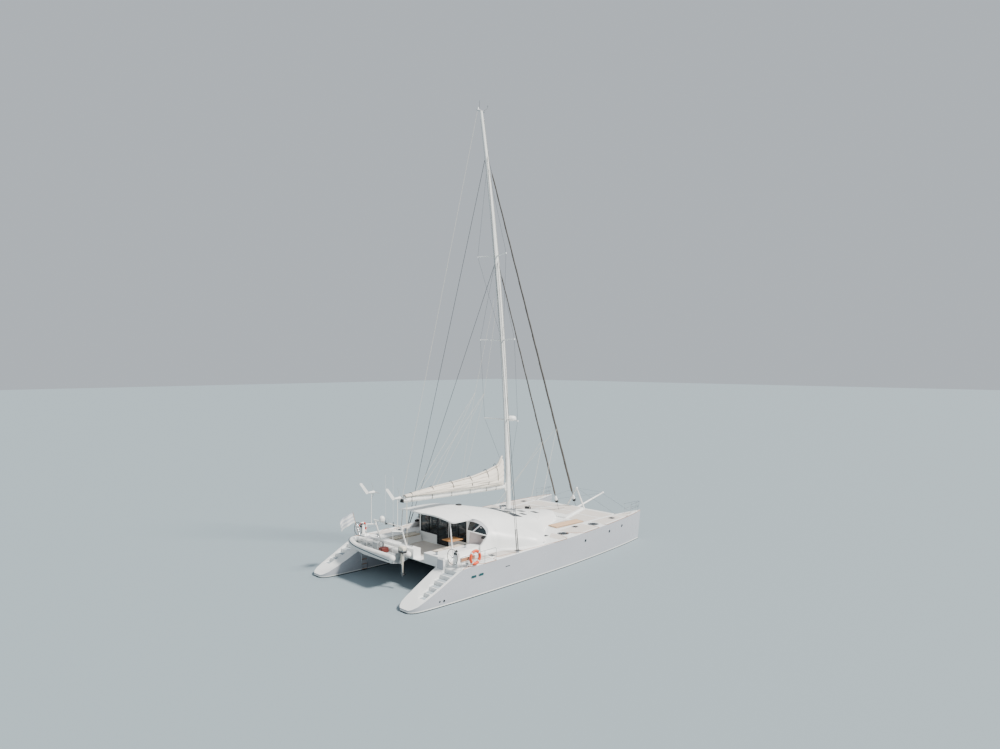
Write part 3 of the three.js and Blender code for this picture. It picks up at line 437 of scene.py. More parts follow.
# Ports and skin fittings: dark glass let into the topsides, each in a thin stainless frame,
# with a vent slot and two exhaust outlets low down near the stern.
steel = finish("polished_stainless", ("#CBD0D4", "#B9BEC3"), 120, 15, 0.1, (0.12, 0.25), 1.0)
smoked_glass = finish("smoked_acrylic", ("#0C1013", "#171D22"), 600, 80, 0.05, (0.2, 0.28))
smoked_glass.node_tree.nodes["Principled BSDF"].inputs["Specular IOR Level"].default_value = 0.3
teal_glass = finish("teal_tinted_glass", ("#0B4A4C", "#0A3A40"), 150, 60, 0.05, (0.04, 0.08))
rubber = finish("black_rubber", ("#17181A", "#242527"), 60, 3, 0.3, (0.6, 0.75))


def moved(obj, place):
    """Shifts a piece, in its mesh, by the way from the origin to a place"""
    obj.data.transform(Matrix.Translation(place))
    return obj


def fitted(obj, place, normal):
    """Turns a piece made round the origin, face up, so that it sits square on a surface"""
    level = Vector((0, 0, 1)) if abs(normal.z) < 0.8 else Vector((0, 1, 0))
    across = level.cross(normal).normalized()
    obj.data.transform(Matrix((across, normal.cross(across), normal)).transposed().to_4x4())
    return moved(obj, place)


def plate(width, height, thick, round_by):
    """A rectangular plate with rounded corners, face up on the origin"""
    obj = sized_box((0, 0, 0), (width, height, thick))
    corners = bmesh.new()
    corners.from_mesh(obj.data)
    upright = [edge for edge in corners.edges
               if abs(edge.verts[0].co.z - edge.verts[1].co.z) > thick / 2]
    bmesh.ops.bevel(corners, geom=upright, offset=round_by, segments=5, affect="EDGES")
    corners.to_mesh(obj.data)
    corners.free()
    return soften(obj, min(thick, round_by) * 0.3, segments=2)


def dish(radius, rings, sides=32):
    """A turned piece: rings of (part of the radius, height), face up on the origin"""
    deselect()
    bpy.ops.mesh.primitive_circle_add(vertices=sides, radius=radius * rings[0][0],
                                      location=(0, 0, rings[0][1]), fill_type="NGON")
    obj = settle(bpy.context.object)
    turned = bmesh.new()
    turned.from_mesh(obj.data)
    edge = turned.edges[:]
    for reach, height in rings[1:]:
        new = bmesh.ops.extrude_edge_only(turned, edges=edge)["geom"]
        for vert in [g for g in new if isinstance(g, bmesh.types.BMVert)]:
            flat = Vector((vert.co.x, vert.co.y, 0)).normalized() * radius * max(reach, 0.001)
            vert.co = (flat.x, flat.y, height)
        edge = [g for g in new if isinstance(g, bmesh.types.BMEdge)]
    bmesh.ops.contextual_create(turned, geom=edge)
    bmesh.ops.recalc_face_normals(turned, faces=turned.faces[:])
    turned.to_mesh(obj.data)
    turned.free()
    return soften(obj, 0)


PORT_RING = [(1, -0.01), (1, 0.008), (0.93, 0.014), (0.84, 0.012), (0.84, -0.01)]
ROUND_PORT = 0.2
frames, panes, teal_panes, outlets = [], [], [], []
for name, side in SIDES.items():
    for x, z, width, height in [(3.88, 1.115, 0.38, 0.15), (4.4, 1.125, 0.38, 0.15),
                                (13.38, 1.275, ROUND_PORT, ROUND_PORT),
                                (16.1, 1.358, ROUND_PORT, ROUND_PORT),
                                (17.7, 1.428, ROUND_PORT, ROUND_PORT), (6.4, 1.16, 0.34, 0.05),
                                (1.66, 0.317, 0.11, 0.11), (1.93, 0.3, 0.14, 0.14)]:
        place, normal = hull_trees[name].ray_cast(at(x, side * 8, z), Vector((0, -side, 0)))[:2]
        if width > height:
            rim, pane = plate(width, height, 0.02, 0.03), plate(width - 0.03, height - 0.03, 0.026, 0.02)
            kind = teal_panes if height > 0.1 else outlets
        else:
            rim = dish(width / 2, PORT_RING, 24)
            pane = dish(width / 2 * 0.84, [(1, -0.012), (1, 0.004), (0.6, 0.008)], 24)
            kind = panes if width == ROUND_PORT else outlets
        kind.append(fitted(pane, place, normal))
        frames.append(fitted(rim, place, normal))
joined("port_frames", frames, steel)
joined("round_port_glass", panes, smoked_glass)
joined("long_port_glass", teal_panes, teal_glass)
joined("exhaust_outlets", outlets, rubber)


# Hull hatches: two big round acrylic lids over the cabins of each hull, in turned alloy rings,
# each with a hinge on its after side and small handles.
anodised = finish("anodised_alloy", ("#C9CCCE", "#BABDC0"), 90, 8, 0.1, (0.3, 0.42), 1.0)
for name in SIDES:
    for label in ("aft", "fore"):
        node = f"hull_hatch_{label}_{name}"
        low, high = (Vector(corner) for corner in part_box(node))
        centre = (low + high) / 2
        ring = moved(dish(0.36, [(1, 0), (1, 0.012), (0.96, 0.018), (0.855, 0.018), (0.845, 0.012),
                                 (0.845, -0.015), (0.85, -0.015)], 48),
                     (centre.x, centre.y, high.z - 0.005))
        hole = bmesh.new()
        hole.from_mesh(ring.data)
        bmesh.ops.delete(hole, geom=[f for f in hole.faces if len(f.verts) > 6], context="FACES")
        hole.to_mesh(ring.data)
        hole.free()
        own(ring, f"hatch_ring_{label}_{name}", anodised)
        lid = dish(0.292, [(1, 0), (1, 0.024), (0.985, 0.03), (0.9, 0.034), (0.5, 0.037)], 48)
        own(moved(lid, (centre.x, centre.y, low.z)), f"hatch_lid_{label}_{name}", smoked_glass,
            node, node)
        grips = [moved(dish(0.022, [(1, 0), (1, 0.008), (0.7, 0.014)], 16),
                       (centre.x + dx, centre.y + dy, high.z + 0.003))
                 for dx, dy in [(0.2, 0.09), (0.2, -0.09), (-0.25, 0)]]
        joined(f"hatch_grips_{label}_{name}", grips, steel, node)


# Small deck hatches: square acrylic lids in flat alloy frames, fixed shut, in the hull decks,
# the coachroof and the deck at the foot of the mast.
roof_tree = touch(skin_of("coachroof", deck_gelcoat, 50))
deck_trees = [bridge_tree, roof_tree, *hull_trees.values()]
rims, lids = [], []
for x, y, length, width in [(13.99, 3.6, 0.32, 0.32), (17.38, 4.02, 0.34, 0.34), (7.6, 4.6, 0.34, 0.26),
                            (11.58, 1.3, 0.36, 0.36), (11.1, 3.6, 0.3, 0.26), (12.35, 0.42, 0.5, 0.34),
                            (10.9, 0.62, 0.46, 0.36), (13.3, 0.75, 0.42, 0.42), (5.95, 4.2, 0.3, 0.3)]:
    for side in SIDES.values():
        place, normal = top_of(deck_trees, at(x, side * y))
        rims.append(fitted(plate(length + 0.07, width + 0.07, 0.024, 0.05), place, normal))
        lids.append(fitted(plate(length, width, 0.042, 0.035), place, normal))
joined("small_hatch_frames", rims, anodised)
joined("small_hatch_lids", lids, smoked_glass)


# Saildrives, screws and engines: bronze screws on legs under each hull, and a painted diesel
# block under each engine hatch, with its rocker cover, gearbox, sump and belt wheels.
bronze = finish("cast_bronze", ("#A98D58", "#8C7142"), 60, 4, 0.3, (0.3, 0.5), 1.0)
engine_paint = finish("engine_enamel", ("#6E7B80", "#5C686E"), 120, 6, 0.4, (0.3, 0.5))
for name, side in SIDES.items():
    skin_of("propeller_" + name, bronze, 45, "propeller_" + name)
    y = side * HULL_Y
    parts = [rounded((x0, y - half, z0), (x1, y + half, z1), edge) for x0, x1, half, z0, z1, edge in [
        (-5.75, -4.95, 0.26, -0.09, 0.40, 0.03), (-5.68, -5.02, 0.17, 0.38, 0.56, 0.02),
        (-5.63, -5.07, 0.12, 0.55, 0.64, 0.03), (-4.97, -4.72, 0.17, -0.09, 0.28, 0.03),
        (-5.79, -4.71, 0.31, -0.098, 0.0, 0.02)]]
    for height in (0.12, 0.3):
        wheel = dish(0.09, [(1, 0), (1, 0.01), (0.9, 0.018), (1, 0.026), (1, 0.036), (0.3, 0.04)], 28)
        parts.append(fitted(wheel, Vector((-5.75, y + 0.05, height)), Vector((-1, 0, 0))))
    joined("engine_block_" + name, parts, engine_paint, node="engine_" + name)

    # The lid over the engine: a moulded tray lid with a rounded edge and a grit panel on top
    node = "engine_hatch_" + name
    lid = soften(skin_of(node, deck_gelcoat, body=node), 0.012)
    aft, fore = [corner[0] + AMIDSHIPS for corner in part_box(node)]
    pad = [(aft + 0.1, y - 0.45), (fore - 0.1, y - 0.45), (fore - 0.1, y + 0.45), (aft + 0.1, y + 0.45)]
    laid_panels("engine_hatch_pad_" + name, [pad], [touch(lid)], 0.06, body=node)


# Windscreen and hardtop: the screen round the front of the coachroof is smoked acrylic glued
# flush into its opening, and the hardtop over the cockpit is a white moulding on posts.
skin_of("windscreen", smoked_glass, 50)
skin_of("hardtop", deck_gelcoat, 40)


# Saloon bulkhead: white moulding round dark panes in thin black frames, with a sliding
# glass door on its track.
def block(name, low, high, round_by, material, body="root", node=None):
    """A rounded box that is a piece of its own"""
    return own(rounded(low, high, round_by), name, material, body, node)


bulkhead = skin_of("saloon_bulkhead", deck_gelcoat, 30)
black_frame = finish("black_anodised_frame", ("#1D1F22", "#2A2D30"), 80, 6, 0.1, (0.35, 0.5), 0.6)
clear_dark = finish("tinted_saloon_glass", ("#10191D", "#182328"), 900, 90, 0.03, (0.03, 0.06))
stiles, panes = [], []
for side in SIDES.values():
    near, far = sorted((side * 0.56, side * 2.08))
    middle = (near + far) / 2
    for y0, y1 in [(near, near + 0.035), (far - 0.035, far), (middle - 0.02, middle + 0.02)]:
        stiles.append(rounded((-4.205, y0, 1.965), (-4.135, y1, 3.265), 0.006))
    for z0, z1 in [(1.962, 1.995), (3.235, 3.268)]:
        stiles.append(rounded((-4.204, near + 0.002, z0), (-4.136, far - 0.002, z1), 0.006))
    panes.append(rounded((-4.175, near + 0.01, 1.97), (-4.163, far - 0.01, 3.26), 0.002))
joined("bulkhead_window_frames", stiles, black_frame)
joined("bulkhead_panes", panes, clear_dark)
soften(skin_of("saloon_door", black_frame, 30, "saloon_door"), 0.004, segments=2)
block("saloon_door_glass", (-4.233, -0.42, 1.56), (-4.223, 0.42, 3.30), 0.002, clear_dark,
      "saloon_door")
tube("saloon_door_handle", [[(-4.262, -0.455, 2.2), (-4.262, -0.455, 2.55)]]
     + [[(-4.262, -0.455, z), (-4.245, -0.455, z)] for z in (2.24, 2.51)], 0.008, steel,
     "saloon_door")


# Cockpit table: a slatted teak top on a stainless pedestal bolted to the cockpit floor.
teak = finish("oiled_teak", ("#C79260", "#A87340"), 260, 14, 0.4, (0.45, 0.6), stretch=(0.09, 1, 1))
low, high = (Vector(corner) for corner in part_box("cockpit_table"))
boards = [rounded((low.x + 0.06, y, 2.168), (high.x - 0.06, y + 0.083, 2.199), 0.003)
          for y in [low.y + 0.056 + i * 0.0862 for i in range(8)]]
boards += [rounded((low.x, y, 2.162), (high.x, y + 0.055, 2.2), 0.006) for y in (low.y, high.y - 0.055)]
boards += [rounded((x, low.y + 0.056, 2.162), (x + 0.06, high.y - 0.056, 2.2), 0.006)
           for x in (low.x, high.x - 0.06)]
joined("table_top", boards, teak, node="cockpit_table")
leg = dish(0.18, [(1, 0), (1, 0.012), (0.45, 0.03), (0.33, 0.06), (0.33, 0.66), (0.6, 0.7), (0.6, 0.71)], 40)
own(moved(leg, at(5.4, -1.48, 1.4505)), "table_leg", steel)


# Cushions: foam seats in sewn marine cloth along both benches, three to a side, with piping
# round the edges. Each is loose on the bench.
cushion_cloth = finish("woven_marine_cloth", ("#DCD3C4", "#CBC1B1"), 180, 3, 0.5, (0.8, 0.95))
piping_cloth = finish("piping_cloth", ("#8C8478", "#7C7569"), 90, 3, 0.4, (0.8, 0.95))
PULL_IN, CROWN = 0.012, 0.012


def stuffed(obj, voxel, cap):
    """Swells a closed slab like foam in a cover, no further than the cap, in metres"""
    pick(obj)
    modify(obj, "REMESH", mode="VOXEL", voxel_size=voxel)
    start = [v.co.copy() for v in obj.data.vertices]
    cloth = obj.modifiers.new("cloth", "CLOTH")
    cloth.settings.use_pressure = True
    cloth.settings.uniform_pressure_force = 4
    cloth.settings.effector_weights.gravity = 0
    cloth.settings.quality = 4
    for step in range(1, 21):
        bpy.context.scene.frame_set(step)
    swollen = obj.evaluated_get(bpy.context.evaluated_depsgraph_get())
    ends = [v.co.copy() for v in swollen.data.vertices]
    obj.modifiers.clear()
    bpy.context.scene.frame_set(1)
    for vertex, first, last in zip(obj.data.vertices, start, ends):
        shift = last - first
        vertex.co = first + shift * min(1, cap / max(shift.length, 1e-6))
    bpy.ops.object.shade_smooth()


def crowned(outline, thick, cells):
    """A closed slab over an outline of four corners, flat below and crowned above, whose
    sides pull in between the corners"""
    a, b, c, d = outline
    middle = (a + b + c + d) / 4
    pad = bmesh.new()
    rows = []
    for u in [i / cells for i in range(cells + 1)]:
        rows.append([])
        for v in [i / cells for i in range(cells + 1)]:
            flat = (a * (1 - u) + b * u) * (1 - v) + (d * (1 - u) + c * u) * v
            edge = max(abs(2 * u - 1), abs(2 * v - 1))
            inner = 4 * u * (1 - u) + 4 * v * (1 - v)
            flat += (middle - flat).normalized() * PULL_IN * inner * edge ** 4
            rise = thick + CROWN * (1 - (2 * u - 1) ** 4) * (1 - (2 * v - 1) ** 4)
            rows[-1].append([pad.verts.new((flat.x, flat.y, z)) for z in (rise, 0)])
    for i in range(cells):
        for j in range(cells):
            q = [rows[i][j], rows[i + 1][j], rows[i + 1][j + 1], rows[i][j + 1]]
            pad.faces.new([p[0] for p in q])
            pad.faces.new([p[1] for p in reversed(q)])
    for k in range(cells):
        for p, q in [(rows[k][0], rows[k + 1][0]), (rows[cells][k], rows[cells][k + 1]),
                     (rows[k + 1][cells], rows[k][cells]), (rows[0][k + 1], rows[0][k])]:
            pad.faces.new([p[1], q[1], q[0], p[0]])
    bmesh.ops.recalc_face_normals(pad, faces=pad.faces[:])
    return moulded("pad", pad)


def copied(obj, place):
    """A copy of a part, with a mesh of its own, shifted to a place"""
    return moved(placed(obj.name, obj.data.copy()), place)


def angles(count):
    """The angles of a whole turn in equal steps, from nought round to nought again"""
    return [2 * math.pi * k / count for k in range(count + 1)]


def squared(part):
    """Pushes a cosine or a sine outwards, which makes a circle nearly a rectangle"""
    return math.copysign(abs(part) ** 0.16, part)


cushion = crowned([Vector(c) for c in [(0, 0, 0), (0.64, 0, 0), (0.64, 0.55, 0), (0, 0.55, 0)]], 0.055, 16)
stuffed(cushion, 0.009, 0.009)
cushion_low = min(v.co.z for v in cushion.data.vertices)
for name in SIDES:
    node = "bench_cushion_" + name
    seams = []
    for i in range(3):
        corner = Vector(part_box(node)[0]) + Vector((0.005 + i * 0.655, 0.01, 0.001 - cushion_low))
        seat = own(copied(cushion, corner), f"bench_seat_{i + 1}_{name}", cushion_cloth,
                   node=None if i else node)
        for height in (0.004, 0.056):
            seams.append([corner + Vector((0.32 + 0.318 * squared(math.cos(t)),
                                           0.275 + 0.273 * squared(math.sin(t)), height + cushion_low))
                          for t in angles(48)])
    tube("bench_piping_" + name, seams, 0.005, piping_cloth, sides=1)
bpy.data.objects.remove(cushion)


# Helm stations: a white moulded pedestal on each after deck with a compass, an instrument
# panel and a throttle, and a five-spoked wheel with a stitched black rim.
def hoop(place, turn, major, minor, segments):
    """A round ring of round section, turned about the boat's axes"""
    deselect()
    bpy.ops.mesh.primitive_torus_add(location=place, rotation=turn, major_radius=major, minor_radius=minor,
                                     major_segments=segments[0], minor_segments=segments[1])
    bpy.ops.object.shade_smooth()
    return settle(bpy.context.object)


leather = finish("stitched_black_leather", ("#1B1B1C", "#262524"), 40, 4, 0.5, (0.45, 0.6))
panel_black = finish("black_moulded_plastic", ("#17191B", "#212326"), 60, 3, 0.2, (0.4, 0.55))
for name, side in SIDES.items():
    y, lever_y, wheel = side * 4.33, side * 4.53, "helm_wheel_" + name
    soften(skin_of("helm_pedestal_" + name, deck_gelcoat, 30), 0.012)
    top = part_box("helm_pedestal_" + name)[1][2]
    dome = dish(0.07, [(1, 0), (1, 0.02), (0.92, 0.05), (0.7, 0.08), (0.35, 0.097)], 28)
    own(moved(dome, (-6.975, y, top - 0.002)), "compass_" + name, smoked_glass)
    ring = dish(0.082, [(1, 0), (1, 0.018), (0.9, 0.024)], 28)
    dials = [fitted(plate(0.1, 0.1, 0.012, 0.012), Vector((-7.068, y + dy, 2.33)), Vector((-1, 0, 0.12)))
             for dy in (-0.075, 0.045)]
    joined("helm_dials_" + name, [moved(ring, (-6.975, y, top - 0.001)), *dials], panel_black)
    tube("throttle_" + name, [[(-6.96, lever_y - side * 0.035, 2.2), (-6.96, lever_y, 2.2)],
                              [(-6.96, lever_y, 2.2), (-6.99, lever_y, 2.34)]], 0.009, steel)
    knob = dish(0.017, [(1, 0), (1.1, 0.02), (0.7, 0.035)], 16)
    own(moved(knob, (-6.99, lever_y, 2.33)), "throttle_knob_" + name, panel_black)
    rim = hoop((-7.25, y, 2.2), (0, math.pi / 2, 0), 0.4, 0.016, (72, 12))
    own(rim, "wheel_rim_" + name, leather, wheel, wheel)
    spokes = [[(-7.25, y, 2.2), (-7.25, y + 0.39 * math.sin(t), 2.2 + 0.39 * math.cos(t))]
              for t in angles(5)[:-1]]
    tube("wheel_spokes_" + name, spokes, 0.009, steel, wheel)
    hub = dish(0.048, [(1, 0), (1, 0.05), (0.8, 0.075), (0.35, 0.08)], 32)
    own(fitted(hub, Vector((-7.215, y, 2.2)), Vector((-1, 0, 0))), "wheel_hub_" + name, steel,
        wheel)


# Winches: self-tailing drums on the coamings, by the helms and round the mast, each on its
# bolted base, for the sheets and halyards.
winch = dish(0.095, [(1, 0), (1, 0.02), (0.78, 0.035), (0.66, 0.06), (0.6, 0.1), (0.68, 0.135), (0.92, 0.14),
                     (0.92, 0.15), (0.72, 0.152), (0.72, 0.16), (0.94, 0.162), (0.9, 0.175), (0.3, 0.18)], 36)
winches = [copied(winch, top_of(deck_trees, at(x, side * y))[0] - Vector((0, 0, 0.012)))
           for x, y in [(5.3, 2.72), (3.25, 2.7), (4.0, 3.85), (3.7, 4.62), (10.75, 0.95), (11.5, 0.62)]
           for side in SIDES.values()]
bpy.data.objects.remove(winch)
joined("winches", winches, steel)


# Rails: bent stainless tube on welded foot plates, round the bows as pulpits and along the
# after decks.
RAIL_RADIUS = 0.0135
PULPIT_LEGS = [(19.15, 0.216, 0.27), (19.9, 0.128, 0.16), (20.42, 0.032, 0.095)]
foot = dish(0.036, [(1, 0), (1, 0.005), (0.5, 0.009)], 20)
for name, side in SIDES.items():
    posts = [top_of([hull_trees[name]], at(x, side * 4.88))[0] for x in (3.05, 3.9, 4.75, 5.6)]
    up, bend = Vector((0, side * 0.02, 0.65)), Vector((0.07, 0, 0))
    rail = [posts[0], posts[0] + up * 0.9, posts[0] + up + bend, posts[3] + up - bend, posts[3] + up * 0.9,
            posts[3]]
    tube("stern_rail_tubes_" + name, [rail] + [[post, post + up] for post in posts[1:3]]
         + [[posts[0] + up * 0.55, posts[3] + up * 0.55]], RAIL_RADIUS, steel,
         node="stern_rail_" + name)
    joined("stern_rail_feet_" + name, [copied(foot, post) for post in posts], steel)

    legs = [(x, -low, -high) for x, low, high in PULPIT_LEGS] + PULPIT_LEGS[::-1]
    bases = [top_of([hull_trees[name]], at(x, side * (HULL_Y + low)))[0] for x, low, _ in legs]
    tops = [Vector((base.x, side * (HULL_Y + high), base.z + 0.635))
            for base, (_, _, high) in zip(bases, legs)]
    front = [Vector((10.34, side * (HULL_Y + way), tops[2].z + 0.003)) for way in (-0.07, 0.07)]
    tube("bow_pulpit_tubes_" + name, [tops[:3] + front + tops[3:]] + [[a, b] for a, b in zip(bases, tops)]
         + [[(a + b) / 2 for a, b in zip(bases, tops)]], RAIL_RADIUS, steel,
         node="bow_pulpit_" + name)
    joined("bow_pulpit_feet_" + name, [copied(foot, base) for base in bases], steel)
bpy.data.objects.remove(foot)


# Lifebuoys: a hard orange ring with four pale tapes and a grab line outside the starboard
# rail, and a soft horseshoe in a red and white cover on the port rail.
orange = finish("orange_buoy_plastic", ("#EC5526", "#DA4A20"), 150, 6, 0.3, (0.45, 0.6))
tape = finish("reflective_tape", ("#F1EFE8", "#DDDBD4"), 60, 4, 0.1, (0.3, 0.45))
red_cover = finish("red_vinyl_cover", ("#C4392C", "#AE2F25"), 90, 4, 0.4, (0.5, 0.65))
rope = finish("braided_rope", ("#E6E2D6", "#CFC9BA"), 40, 2, 0.6, (0.8, 0.95))
buoy_at = at(3.95, -4.985, 2.12)
buoy = own(hoop(buoy_at, (math.pi / 2, 0, 0), 0.33, 0.08, (64, 14)), "lifebuoy", orange)
paint_faces(buoy, tape, lambda centre, normal:
            abs(abs(centre.x - buoy_at.x) - abs(centre.z - buoy_at.z)) < 0.038)
grab = [buoy_at + (0.425 + 0.018 * math.cos(8 * t)) * Vector((math.cos(t), 0, math.sin(t)))
        for t in angles(96)]
tube("lifebuoy_line", [grab], 0.005, rope, sides=1)
horse_at = at(3.62, 4.84, 2.1)
arc = [horse_at + Vector((0.26 * math.cos(t), 0, 0.28 * math.sin(t)))
       for t in [math.radians(-50 + 10 * k) for k in range(29)]]
horseshoe = tube("horseshoe_buoy", [arc], 0.062, red_cover, sides=4)
paint_faces(horseshoe, tape, lambda centre, normal:
            int((math.atan2(centre.z - horse_at.z, centre.x - horse_at.x) + 7) / 0.7) % 2 == 0)


# Flagstaff and ensign: a varnished staff in a socket on the port after deck, with a plain
# striped cloth flag bent to it, which streams aft and droops.
def bridged(form, rows, around=False):
    """Makes faces from each row of corners to the next, and round the rows that are rings"""
    for a, b in zip(rows, rows[1:]):
        for i in range(len(a) if around else len(a) - 1):
            k = (i + 1) % len(a)
            form.faces.new([a[i], a[k], b[k], b[i]])


staff_foot = top_of([hull_trees["port"]], at(2.9, 4.07))[0]
staff_top = at(2.39, 4.07, 3.36)
tube("flagstaff", [[staff_foot, staff_top]], 0.012, varnish)
socket = dish(0.03, [(1, 0), (1, 0.01), (0.6, 0.02), (0.6, 0.09)], 20)
own(moved(socket, staff_foot - Vector((0, 0, 0.002))), "flagstaff_socket", steel)
flag_cloth = finish("woven_flag_polyester", ("#F1F1EE", "#E3E4E2"), 200, 3, 0.2, (0.75, 0.9))
flag_band = finish("pale_blue_flag_band", ("#C9CDD6", "#BEC3CD"), 200, 3, 0.2, (0.75, 0.9))
FLAG_CELLS = (40, 24)
flag = bmesh.new()
lean = (staff_top - staff_foot).normalized()
grid = []
for u in [i / FLAG_CELLS[0] for i in range(FLAG_CELLS[0] + 1)]:
    grid.append([])
    for v in [j / FLAG_CELLS[1] for j in range(FLAG_CELLS[1] + 1)]:
        hoist = staff_top - lean * (0.06 + 0.62 * (1 - v)) + Vector((-0.013, 0, 0))
        ripple = 0.055 * math.sin(9 * u + 1.4 * v) * u ** 0.6 + 0.1 * u
        sag = -0.42 * u ** 1.5 - 0.03 * math.sin(7 * u) * u
        grid[-1].append(flag.verts.new(hoist + Vector((-0.9 * u + 0.05 * u * u, ripple, sag))))
bridged(flag, grid)
ensign = moulded("ensign", flag)
bpy.ops.object.shade_smooth()
own(ensign, "ensign", flag_cloth)
ensign.data.materials.append(flag_band)
for face in ensign.data.polygons:
    face.material_index = int(face.index % FLAG_CELLS[1] // 4 % 2 == 1)


# Stern gantry: welded alloy tube, painted, on the after coaming. Its two davit arms carry
# the tender on their falls, and it holds the generator poles and the aerials.
spar_paint = finish("spar_paint", ("#F5F5F2", "#ECECE8"), 800, 30, 0.1, (0.25, 0.4))
skin_of("stern_gantry", spar_paint, 50)
mounts, whips = [], []
for y in (0.34, 1.05):
    whips.append([at(2.62, y, 3.13), at(2.62, y, 3.3), at(2.6, y, 5.9)])
    collar = dish(0.03, [(1, 0), (1, 0.05), (0.7, 0.07), (0.6, 0.22), (0.3, 0.24)], 18)
    mounts.append(moved(collar, at(2.62, y, 3.08)))
    mounts.append(rounded(at(2.6, y - 0.03, 3.06), at(2.76, y + 0.03, 3.12), 0.006))
tube("whip_antennas", whips, 0.006, spar_paint, sides=2)
joined("antenna_mounts", mounts, panel_black)
dome = dish(0.17, [(0.75, 0), (1, 0.03), (1, 0.12), (0.9, 0.2), (0.65, 0.27), (0.3, 0.305)], 32)
own(moved(dome, at(2.75, 1.6, 3.14)), "satellite_dome", spar_paint)


# Wind generators: a white moulded nacelle with a tail fin on each pole, and a three-bladed
# rotor of thin twisted blades that spins in front of it.
blade_white = finish("white_moulded_nylon", ("#F1F1EE", "#E6E6E2"), 200, 8, 0.1, (0.35, 0.5))
BLADE_SECTIONS = [(0.08, 0.5, 0.6), (0.2, 1, 0.4), (0.45, 0.85, 0.22), (0.75, 0.6, 0.12), (1, 0.3, 0.05)]
BLADE_REACH, BLADE_CHORD = 0.6, 0.09


def blade(hub, turn):
    """One tapered, twisted blade standing out from a hub, round the boat's length"""
    sections = bmesh.new()
    rings = []
    for part, wide, twist in BLADE_SECTIONS:
        rings.append([])
        for t in angles(12)[:-1]:
            across = 0.5 * BLADE_CHORD * wide * math.cos(t)
            deep = (0.07 * BLADE_CHORD * wide + 0.002) * math.sin(t)
            rings[-1].append(sections.verts.new((across * math.sin(twist) + deep * math.cos(twist),
                                                 across * math.cos(twist) - deep * math.sin(twist),
                                                 part * BLADE_REACH)))
    bridged(sections, rings, around=True)
    sections.faces.new(rings[0][::-1])
    sections.faces.new(rings[-1])
    bmesh.ops.recalc_face_normals(sections, faces=sections.faces[:])
    obj = moulded("blade", sections)
    obj.data.transform(Matrix.Translation(hub) @ Matrix.Rotation(turn, 4, "X"))
    return soften(obj, 0)


for name, y in (("port", 2.3), ("starboard", -0.22)):
    soften(skin_of("wind_generator_" + name, blade_white, 40), 0.004)
    spinner = dish(0.08, [(1, 0), (1, 0.02), (0.85, 0.06), (0.5, 0.1), (0.15, 0.118)], 28)
    node = "wind_rotor_" + name
    blades = [blade(at(2.7, y, 4.75), -0.5 - t) for t in angles(3)[:-1]]
    joined("wind_rotor_blades_" + name, [fitted(spinner, at(2.641, y, 4.75), Vector((1, 0, 0))), *blades],
           blade_white, node, node)


# Tender: a rigid inflatable slung athwartships, with grey-white tubes, a dark teal rubbing
# strip, and a moulded hull with a console, a wheel and a seat.
hypalon = finish("coated_tender_fabric", ("#E9E9E6", "#DBDCDA"), 300, 3, 0.3, (0.55, 0.7))
teal_rubber = finish("teal_rubbing_strip", ("#0E3B4C", "#0B3040"), 120, 4, 0.3, (0.5, 0.65))
grey_mould = finish("grey_moulded_floor", ("#A9AEB0", "#989EA1"), 150, 4, 0.6, (0.6, 0.75))
red_vinyl = finish("dark_red_seat_vinyl", ("#6A2A24", "#58221D"), 80, 3, 0.3, (0.45, 0.6))
TENDER_X, TENDER_TUBE = -8.03, 0.1925
HALF_LOOP = [(-0.54, -0.85, 1.7), (-0.54, 1.1, 1.7), (-0.54, 2.3, 1.72), (-0.443, 3.0, 1.76),
             (-0.238, 3.48, 1.81)]
tender_hull = skin_of("tender", grey_mould, 40)
paint_faces(tender_hull, hypalon, lambda centre, normal: centre.z < 1.6 or abs(centre.x - TENDER_X) > 0.4)


def through(points, each=8):
    """A smooth run of places through the given ones"""
    run = []
    for i in range(len(points) - 1):
        p = [points[min(max(i + k, 0), len(points) - 1)] for k in (-1, 0, 1, 2)]
        for t in [k / each for k in range(each)]:
            run.append(0.5 * (2 * p[1] + (p[2] - p[0]) * t + (2 * p[0] - 5 * p[1] + 4 * p[2] - p[3]) * t * t
                              + (3 * p[1] - p[0] - 3 * p[2] + p[3]) * t ** 3))
    return run + [points[-1]]


loop = through([Vector((TENDER_X + dx, y, z)) for dx, y, z in HALF_LOOP] + [Vector((TENDER_X, 3.56, 1.84))]
               + [Vector((TENDER_X - dx, y, z)) for dx, y, z in reversed(HALF_LOOP)])
tube("tender_tubes", [loop], TENDER_TUBE, hypalon, sides=6)
cones = [fitted(dish(TENDER_TUBE, [(1, 0), (0.98, 0.05), (0.86, 0.12), (0.55, 0.2), (0.2, 0.235)], 28),
                end + Vector((0, 0.002, 0)), Vector((0, -1, 0))) for end in (loop[0], loop[-1])]
joined("tender_tube_cones", cones, hypalon)
strip = []
for place, behind, ahead in zip(loop, loop[:1] + loop, loop[1:] + loop[-1:]):
    outward = Vector(((behind - ahead).y, (ahead - behind).x, 0)).normalized()
    rise = -0.5 + 1.2 * min(max((place.y + 0.85) / 4.4, 0), 1)
    strip.append(place + outward * 0.192 * math.cos(rise) + Vector((0, 0, 0.192 * math.sin(rise))))
tube("tender_rubbing_strip", [strip], 0.026, teal_rubber, sides=2)
seat = block("tender_seat", (-8.26, 0.45, 1.642), (-7.8, 0.8, 1.93), 0.03, red_vinyl)
block("tender_bow_step", (-8.3, 2.55, 1.642), (-7.76, 2.95, 1.78), 0.03, grey_mould)
tube("tender_console_rail", [[(-8.22, 1.33, 2.1), (-8.22, 1.36, 2.3), (-7.84, 1.36, 2.3),
                              (-7.84, 1.33, 2.1)]], 0.011, steel)
